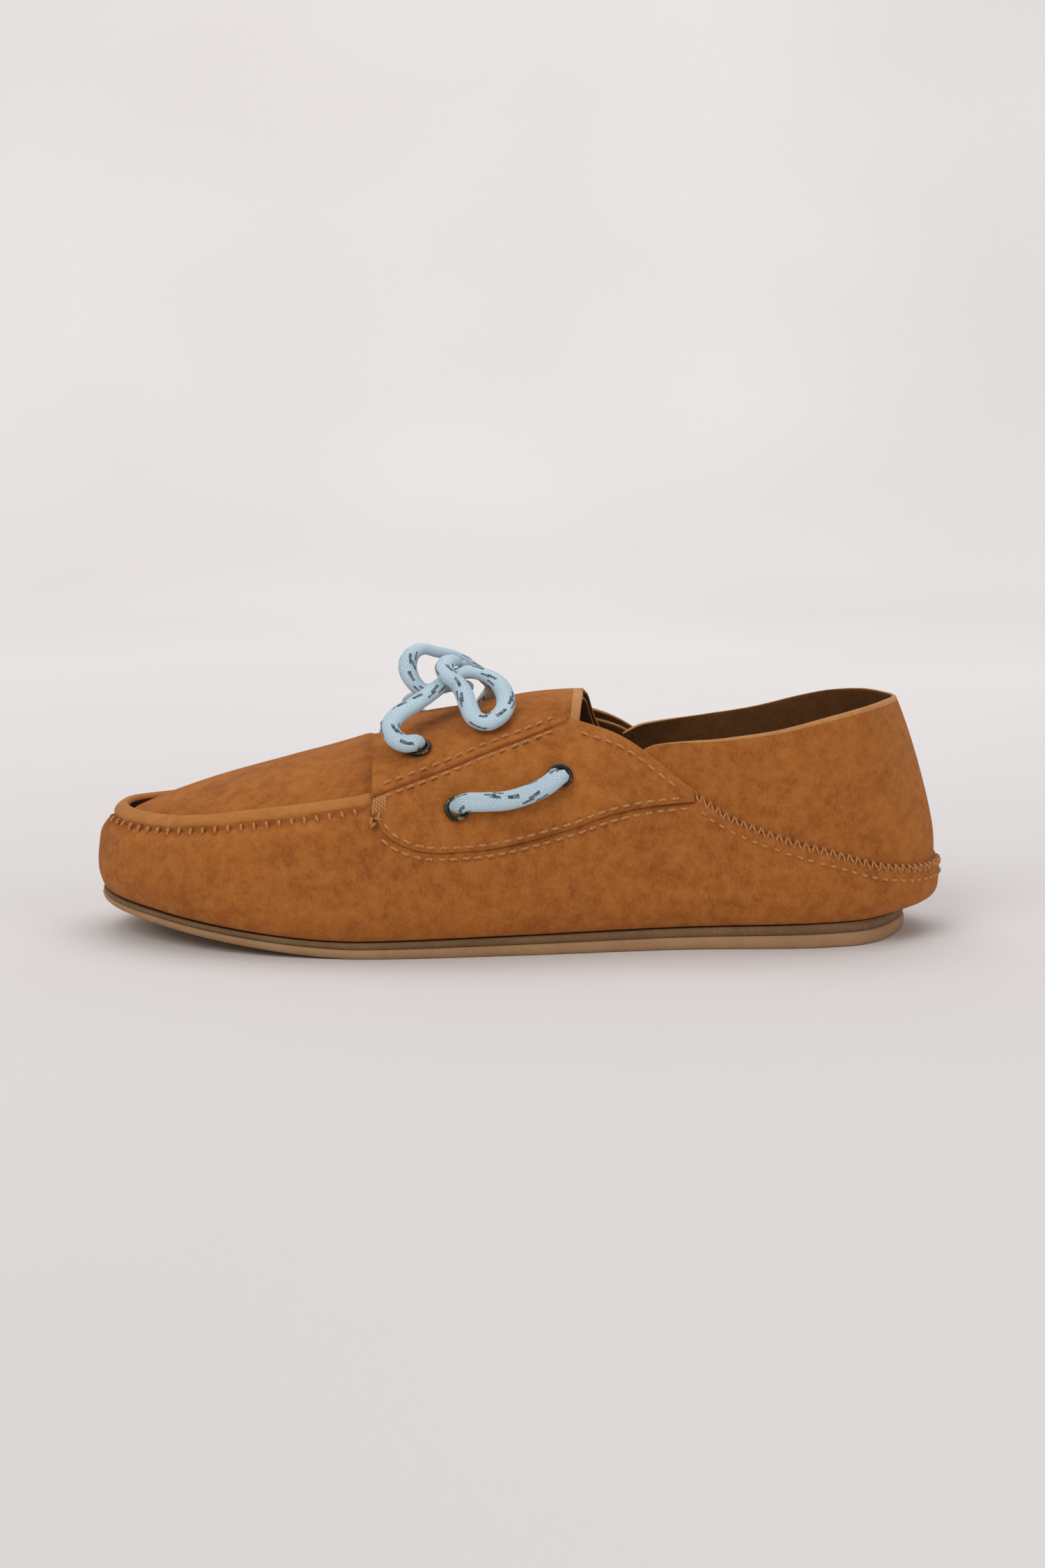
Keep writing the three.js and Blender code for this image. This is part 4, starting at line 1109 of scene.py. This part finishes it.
def stitches(name, starts, ends, normals, rise=0.3, radius=THREAD_RADIUS):
    """Threads from each start to its end: the centre line is the chord plus normal * rise *
    (1 - 2.6 t^4), t from -1 to 1, so both ends sink; the radius shrinks to the tips."""
    rings, sides = 7, 6
    t = np.linspace(-1, 1, rings)
    middle = (starts + ends) / 2
    half = (ends - starts) / 2
    up = unit(normals - (normals * unit(half)).sum(1, keepdims=True) * unit(half))
    across = unit(np.cross(half, up))
    line = middle[:, None] + half[:, None] * t[:, None]
    line = line + up[:, None] * (rise * (1 - 2.6 * t**4))[:, None]
    turn = np.linspace(0, 2 * math.pi, sides, endpoint=False)
    size = (radius * np.sqrt(np.clip(1 - t**6 * 0.9, 0, 1)))[None, :, None, None]
    ring = (np.cos(turn)[None, None, :, None] * across[:, None, None]
            + np.sin(turn)[None, None, :, None] * up[:, None, None])
    points = line[:, :, None] + size * ring
    one = grid_faces(rings, sides, close_columns=True)
    one = outward_faces(points[0], one)
    each = rings * sides
    faces = (one[None] + each * np.arange(len(starts))[:, None, None]).reshape(-1, 4).tolist()
    caps = np.arange(sides)
    first_cap = caps if one[0, 1] == sides else caps[::-1]
    for k in range(len(starts)):
        faces.append((first_cap + k * each).tolist())
        faces.append((first_cap[::-1] + k * each + each - sides).tolist())
    made = make_object(name, points, faces, [THREAD])
    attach(made, "root")
    print(name, len(starts), "stitches")


def run_of_stitches(points, normals, pitch=STITCH_PITCH, length=2.9, jitter=0.1, seed=1):
    """Starts, ends and normals of evenly spaced stitches along a line of points."""
    travelled = lengths_along(points)
    count = int((travelled[-1] - length) / pitch) + 1
    rng = np.random.default_rng(seed)
    first = (np.arange(count) + 0.15) * pitch + rng.normal(0, jitter, count)

    def read(values, at):
        return np.column_stack([np.interp(at, travelled, values[:, k]) for k in range(3)])

    return read(points, first), read(points, first + length), unit(read(normals, first + length / 2))


def joined(parts):
    return [np.concatenate(group) for group in zip(*parts)]


# %% Rows along the saddle, the eyestay and the topline
def beside(line, gap):
    """The [x, z] line moved sideways by gap; a positive gap is to the left of its direction."""
    direction = unit(np.gradient(line, axis=0))
    moved = line + gap * np.column_stack([-direction[:, 1], direction[:, 0]])
    keep = distance_to(line, moved[:, 0], moved[:, 1]) > abs(gap) * 0.97
    return moved[keep]


def on_wall(side, line, height):
    """Points and normals of the last along an [x, z] line, `height` above it."""
    angle = station(line[:, 0])
    sides = np.full(len(line), side)
    normal = wall_normal(sides, angle, line[:, 1])
    return wall(side, angle, line[:, 1]) + normal * np.asarray(height)[..., None], normal


def saddle_rows(side):
    """One row on the saddle inside its edge, and one on the vamp outside it."""
    inner = beside(SADDLE_EDGE, ROW_GAP)
    inner = inner[(inner[:, 0] < 46.5) & (inner[:, 1] < curve(STAY_LOW, inner[:, 0]) - 2.4)]
    outer = beside(SADDLE_EDGE, -ROW_GAP - 0.3)
    outer = outer[(outer[:, 0] < 47.5) & (outer[:, 1] < 37.5 + 0.08 * outer[:, 0])]
    on_saddle = SADDLE_LAYER[1] + saddle_lift(side, inner[:, 0], inner[:, 1])
    on_vamp = vamp_lift(side, station(outer[:, 0]), outer[:, 1])
    rows = [on_wall(side, inner, on_saddle + 0.02), on_wall(side, outer, on_vamp + 0.02)]
    return joined([run_of_stitches(*row, seed=7 + k) for k, row in enumerate(rows)])


def stay_rows(side):
    """One row on the eyestay above its lower edge, and one on the saddle below it."""
    x = np.linspace(-38.5, 11.5, 160)
    below = np.column_stack([x, curve(STAY_LOW, x) - ROW_GAP])
    above = np.column_stack([x[:-6], curve(STAY_LOW, x[:-6]) + ROW_GAP + 0.25])
    on_saddle = SADDLE_LAYER[1] + saddle_lift(side, below[:, 0], below[:, 1])
    point, normal = on_wall(side, above, 0 * above[:, 0])
    on_stay = STAY_LAYER[1] + stay_lift(point[:, 0], point[:, 1], side)
    rows = [on_wall(side, below, on_saddle + 0.02), on_wall(side, above, on_stay + 0.02)]
    return joined([run_of_stitches(*row, seed=17 + k) for k, row in enumerate(rows)])


def topline_row(side):
    """A row below the topline, from the eyestay's tip to the heel seam."""
    x = np.linspace(16.5, 45.5, 90)
    line = np.column_stack([x, curve(SADDLE_HIGH, x) - 3.2])
    height = SADDLE_LAYER[1] + saddle_lift(side, line[:, 0], line[:, 1])
    return run_of_stitches(*on_wall(side, line, height), seed=27)


def corner_bar(side):
    """Five stitches side by side that lock the corner of lip, eyestay and saddle."""
    x = -40.6 + 0.75 * np.arange(5)
    low = np.column_stack([x, 39.6 + 0.2 * np.arange(5)])
    high = low + [0.5, 4.2]
    start, normal = on_wall(side, low, np.full(5, 2.0))
    end, _ = on_wall(side, high, np.full(5, 2.9))
    return start, end, normal


for half, side in HALVES.items():
    stitches(f"seam_saddle_{half}", *joined([saddle_rows(side), topline_row(side)]))
    stitches(f"seam_eyestay_{half}", *joined([stay_rows(side), corner_bar(side)]))


# %% The lip's upright stitches, the heel's row and its zigzag
def along_edge(height_of, pitch, from_x, to_x):
    """Side, angle and place of evenly spaced points along the vamp's edge, on one side after the
    other, from from_x to to_x."""
    x = np.linspace(from_x, to_x, 600)
    found = []
    for side in (-1, 1):
        points = wall(side, station(x), height_of(x))
        travelled = lengths_along(points)
        at = np.interp(np.arange(pitch / 2, travelled[-1], pitch), travelled, x)
        found.append((np.full(len(at), side), at))
    return joined(found)


LIP_STITCH_LEAN = 0.006
HEEL_ROW_DROP = 3.4


def lip_stitches():
    """Upright stitches from under the bead to below the groove, one at each pucker."""
    side, x = along_edge(lambda x: curve(LIP_HEIGHT, x), STITCH_PITCH, -124.5, -43)
    angle = station(x)
    top = curve(LIP_HEIGHT, x) - LIP_DEPTH
    bottom = top - 1.9
    normal = wall_normal(side, angle, bottom)
    start = wall(side, angle, top) + normal * 0.35
    end_angle = np.clip(angle + LIP_STITCH_LEAN, 0, math.pi)
    end = wall(side, end_angle, bottom) + normal * (vamp_lift(side, end_angle, bottom) + 0.1)[:, None]
    return start, end, normal


def heel_row():
    """A running row on the vamp, HEEL_ROW_DROP below its edge, round the heel."""
    parts = []
    for side in (-1, 1):
        x = np.concatenate([np.linspace(50, 118, 200), 125 - 7 * (1 - np.linspace(0, 1, 40)) ** 2])
        line = np.column_stack([x, curve(VAMP_HIGH, x) - HEEL_ROW_DROP])
        height = vamp_lift(side, station(x), line[:, 1]) + 0.02
        parts.append(run_of_stitches(*on_wall(side, line, height), pitch=3.4, length=2.1, seed=37))
    return joined(parts)


def heel_zigzag():
    """Threads that go up over the vamp's edge into the quarter and down again."""
    side, x = along_edge(lambda x: curve(VAMP_HIGH, x), 1.35, 40, 124.9)
    angle = station(x)
    edge = curve(VAMP_HIGH, x)
    up = np.arange(len(x)) % 2 == 0
    z = np.where(up, edge + 1.5, edge - 1.6)
    normal = wall_normal(side, angle, z)
    height = np.where(up, QUARTER_LAYER[1] + 0.25, vamp_lift(side, angle, z) + 0.15)
    places = wall(side, angle, z) + normal * height[:, None]
    same_side = side[1:] == side[:-1]
    return places[:-1][same_side], places[1:][same_side], normal[:-1][same_side]


stitches("seam_lip", *lip_stitches(), rise=0.35)
stitches("seam_heel_row", *heel_row())
stitches("seam_heel_zigzag", *heel_zigzag(), rise=0.75, radius=0.28)

# %% [markdown]
# ## Eyelets
# Each eyelet is a turned ring: a rolled flange outside, a barrel through the leather, and a
# smaller flange inside. It is a profile of radius and height swept round the hole's own normal,
# and stands where the CAD eyelet stands.

# %% Make the eyelets
RING_STEPS = 48


def eyelet_profile(stack):
    """Radius and height round the section: a rounded outer flange, the barrel, the inner flange."""
    turn = np.linspace(-0.5 * math.pi, 1.0 * math.pi, 9)
    roll = np.column_stack([2.95 + 0.62 * np.cos(turn), 0.62 + 0.5 * np.sin(turn)])
    bottom = -stack - 1.3
    rest = [[2.28, 0.3], [2.28, bottom + 0.35], [2.5, bottom], [3.1, bottom], [3.2, bottom + 0.35],
            [3.1, bottom + 0.65], [2.75, bottom + 0.7], [2.75, 0.05]]
    return np.vstack([roll, rest])


def make_eyelet(place, half, side, stack, layer):
    x, z = EYELETS[place]
    angle = station(x)
    centre = wall(side, angle, z)
    normal = wall_normal(np.array(side), angle, np.array(z))
    centre = centre + normal * layer
    first = unit(np.cross(normal, [1.0, 0.1, 0.0]))
    second = np.cross(normal, first)
    turn = np.linspace(0, 2 * math.pi, RING_STEPS, endpoint=False)[:, None, None]
    profile = eyelet_profile(stack)[None, :, :]
    points = (centre + profile[..., :1] * (np.cos(turn) * first + np.sin(turn) * second)
              + profile[..., 1:] * normal)
    faces = outward_faces(points, grid_faces(RING_STEPS, profile.shape[1], True, True))
    made = make_object(f"ring_{place}_{half}", points, faces.tolist(), [GUNMETAL])
    stand_in(made, f"eyelet_{place}_{half}")


for half, side in HALVES.items():
    make_eyelet("front", half, side, 1.4, STAY_LAYER[1] - 0.05)
    for place in ("side_front", "side_rear"):
        make_eyelet(place, half, side, 3.2, SADDLE_LAYER[1] + 0.1)

# %% [markdown]
# ## The sole and the layers under the foot
# The outsole and the thin darker midsole are slabs swept round the sole's outline: a list of
# (inset, height) pairs gives the edge's section, with small rounded corners, and the same
# outline shrinks to a line down the middle to close each face. The ground side has shallow
# wavy grooves. Inside lie the board, the foam footbed and the suede sock lining.

# %% Slabs on the sole's outline
SLAB_COLUMNS = 300
GROOVE_PITCH = 5.2
GROOVE_DEPTH = 0.9


def slab(name, node, section, material, wave=None):
    """Slab from (extra inset, height function) pairs in order from the middle of its lower face, out
    round its edge, to the middle of its upper face. Rings past an inset of 100 lie on the
    middle line. `wave` gives a height to add on the lower face."""
    side, angle = ring_angles(SLAB_COLUMNS, 0.5)
    x, y = outline(side, angle)
    nx, ny = outward(side, angle)
    middle_y = (outline(-1, angle)[1] + outline(1, angle)[1]) / 2
    columns = []
    for k, (inset, height) in enumerate(section):
        if inset <= 100:
            d = sole_inset(x) + inset
            px, py = x - nx * d, y - ny * d
        else:
            d = sole_inset(x) + 6
            share_in = (inset - 100) / 100
            px, py = x - nx * d, y - ny * d
            px = px * (1 - share_in) + np.clip(px, -112, 104) * share_in
            py = py * (1 - share_in) + middle_y * share_in
        pz = height(px)
        if wave is not None and k < len(section) // 2:
            pz = pz + wave(px, py) * smooth(3, 7, inset)
        columns.append(np.concatenate([px, py, pz], 1))
    points = np.stack(columns, 1)
    faces = grid_faces(SLAB_COLUMNS, len(section), close_rows=True)
    made = make_object(name, points, outward_faces(points, faces).tolist(), [material])
    mesh_tidy(made)
    stand_in(made, node)
    return made


def mesh_tidy(made):
    """Merge the points that meet on the middle line, and drop faces without area."""
    work = bmesh.new()
    work.from_mesh(made.data)
    bmesh.ops.remove_doubles(work, verts=work.verts, dist=0.00002)
    bmesh.ops.dissolve_degenerate(work, edges=work.edges, dist=0.00001)
    bmesh.ops.recalc_face_normals(work, faces=work.faces)
    work.to_mesh(made.data)
    work.free()


def tread(x, y):
    """Wavy grooves across the ground side, GROOVE_DEPTH deep."""
    phase = 2 * math.pi * (x + 1.6 * np.sin(y / 4.2)) / GROOVE_PITCH
    return GROOVE_DEPTH * smooth(0.55, 0.95, np.cos(phase))


def lower_join(x):
    return spring(x) + sole_thickness(x) * OUTSOLE_SHARE


tread_rings = [(200 - 3.2 * k, spring) for k in range(28)]
slab(
    "outsole_tread", "outsole",
    tread_rings + [(6, spring), (3, spring), (1, spring), (0.5, lambda x: spring(x) + 0.12),
                   (0.1, lambda x: spring(x) + 0.5), (-0.15, lambda x: spring(x) + 1.3),
                   (-0.1, lambda x: lower_join(x) - 0.5), (0.25, lower_join),
                   (1.5, lower_join), (6, lower_join), (150, lower_join), (200, lower_join)],
    OUTSOLE_RUBBER, wave=tread)
slab(
    "midsole_band", "midsole",
    [(200, lambda x: lower_join(x) + 0.05), (6, lambda x: lower_join(x) + 0.05),
     (0.6, lambda x: lower_join(x) + 0.05), (0.25, lambda x: lower_join(x) + 0.3),
     (0.1, lambda x: (lower_join(x) + sole_top(x)) / 2), (0.25, lambda x: sole_top(x) - 0.2),
     (0.7, sole_top), (6, sole_top), (200, sole_top)],
    MIDSOLE_RUBBER)


def layer_section(low, high, edge):
    """A thin layer between two heights above the sole, with a soft edge."""
    return [(200, lambda x: sole_top(x) + low), (6, lambda x: sole_top(x) + low),
            (edge + 0.5, lambda x: sole_top(x) + low), (edge, lambda x: sole_top(x) + (low + high) / 2),
            (edge + 0.6, lambda x: sole_top(x) + high), (6, lambda x: sole_top(x) + high),
            (150, lambda x: sole_top(x) + high - 0.6), (200, lambda x: sole_top(x) + high - 0.9)]


footbed = slab("foam_footbed", "footbed", layer_section(2.0, 4.8, 0.6), FOAM)
slab("suede_sock", "sock_lining", layer_section(4.9, 5.9, 0.3), FLESH)

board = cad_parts["insole_board"]
board.data.materials.clear()
board.data.materials.append(BOARD)

# %% [markdown]
# ## Stage and lights
# The floor is one sheet that sweeps up behind the shoe. A wide, soft key light stands to the
# upper left in front, a fill on the right, and a large light overhead evens the top. The world
# gives a low even light, so the shadow below the shoe stays soft and pale.

# %% Floor
def stage_material():
    """Matt paper with a faint unevenness."""
    material, tree, shader = start_material("backdrop paper", 0.9)
    clouds = noise(tree, object_coordinates(tree), 1.6, 2)
    tone = colour_mix(tree, stretch(tree, clouds, 0.35, 0.65), (0.760, 0.725, 0.715, 1),
                      (0.800, 0.770, 0.760, 1))
    tree.links.new(tone, shader.inputs["Base Color"])
    return material


def make_stage():
    """Level floor, a quarter round of 0.9 m radius, and a wall, 9 m wide."""
    turn = np.linspace(0, math.pi / 2, 24)
    sweep = np.column_stack([1.1 + 0.9 * np.sin(turn), 0.9 - 0.9 * np.cos(turn)])
    profile = np.vstack([[[-3.0, 0.0]], sweep, [[2.0, 4.0]]])
    x = np.linspace(-4.5, 4.5, 4)
    points = np.stack([np.broadcast_to(x[:, None], (4, len(profile))),
                       np.broadcast_to(profile[:, 0], (4, len(profile))),
                       np.broadcast_to(profile[:, 1], (4, len(profile)))], -1) / MM
    floor = make_object("backdrop", points, grid_faces(4, len(profile)).tolist(), [stage_material()])


make_stage()


# %% Lights
def area_light(name, place, aim, size, power, colour):
    data = bpy.data.lights.new(name, "AREA")
    data.shape = "RECTANGLE"
    data.size, data.size_y = size
    data.energy = power
    data.color = colour
    light = bpy.data.objects.new(name, data)
    light.location = place
    direction = Vector(aim) - Vector(place)
    light.rotation_euler = direction.to_track_quat("-Z", "Y").to_euler()
    scene.collection.objects.link(light)


area_light("key", (-1.1, -1.4, 1.7), (0, 0, 0.04), (1.4, 1.4), 20, (1.0, 0.985, 0.96))
area_light("fill", (1.5, -1.2, 0.9), (0, 0, 0.04), (1.2, 1.2), 7, (0.97, 0.98, 1.0))
area_light("overhead", (0.1, 0.5, 2.0), (0, 0.1, 0), (2.2, 1.6), 16, (1.0, 1.0, 1.0))
area_light("backdrop light", (0, 0.6, 1.6), (0, 2.2, 0.7), (2.4, 0.8), 12, (1.0, 1.0, 1.0))
world = bpy.data.worlds.new("studio")
world.use_nodes = True
world.node_tree.nodes["Background"].inputs[0].default_value = (0.95, 0.97, 1.0, 1)
world.node_tree.nodes["Background"].inputs[1].default_value = 0.30
scene.world = world
scene.view_settings.view_transform = "Standard"
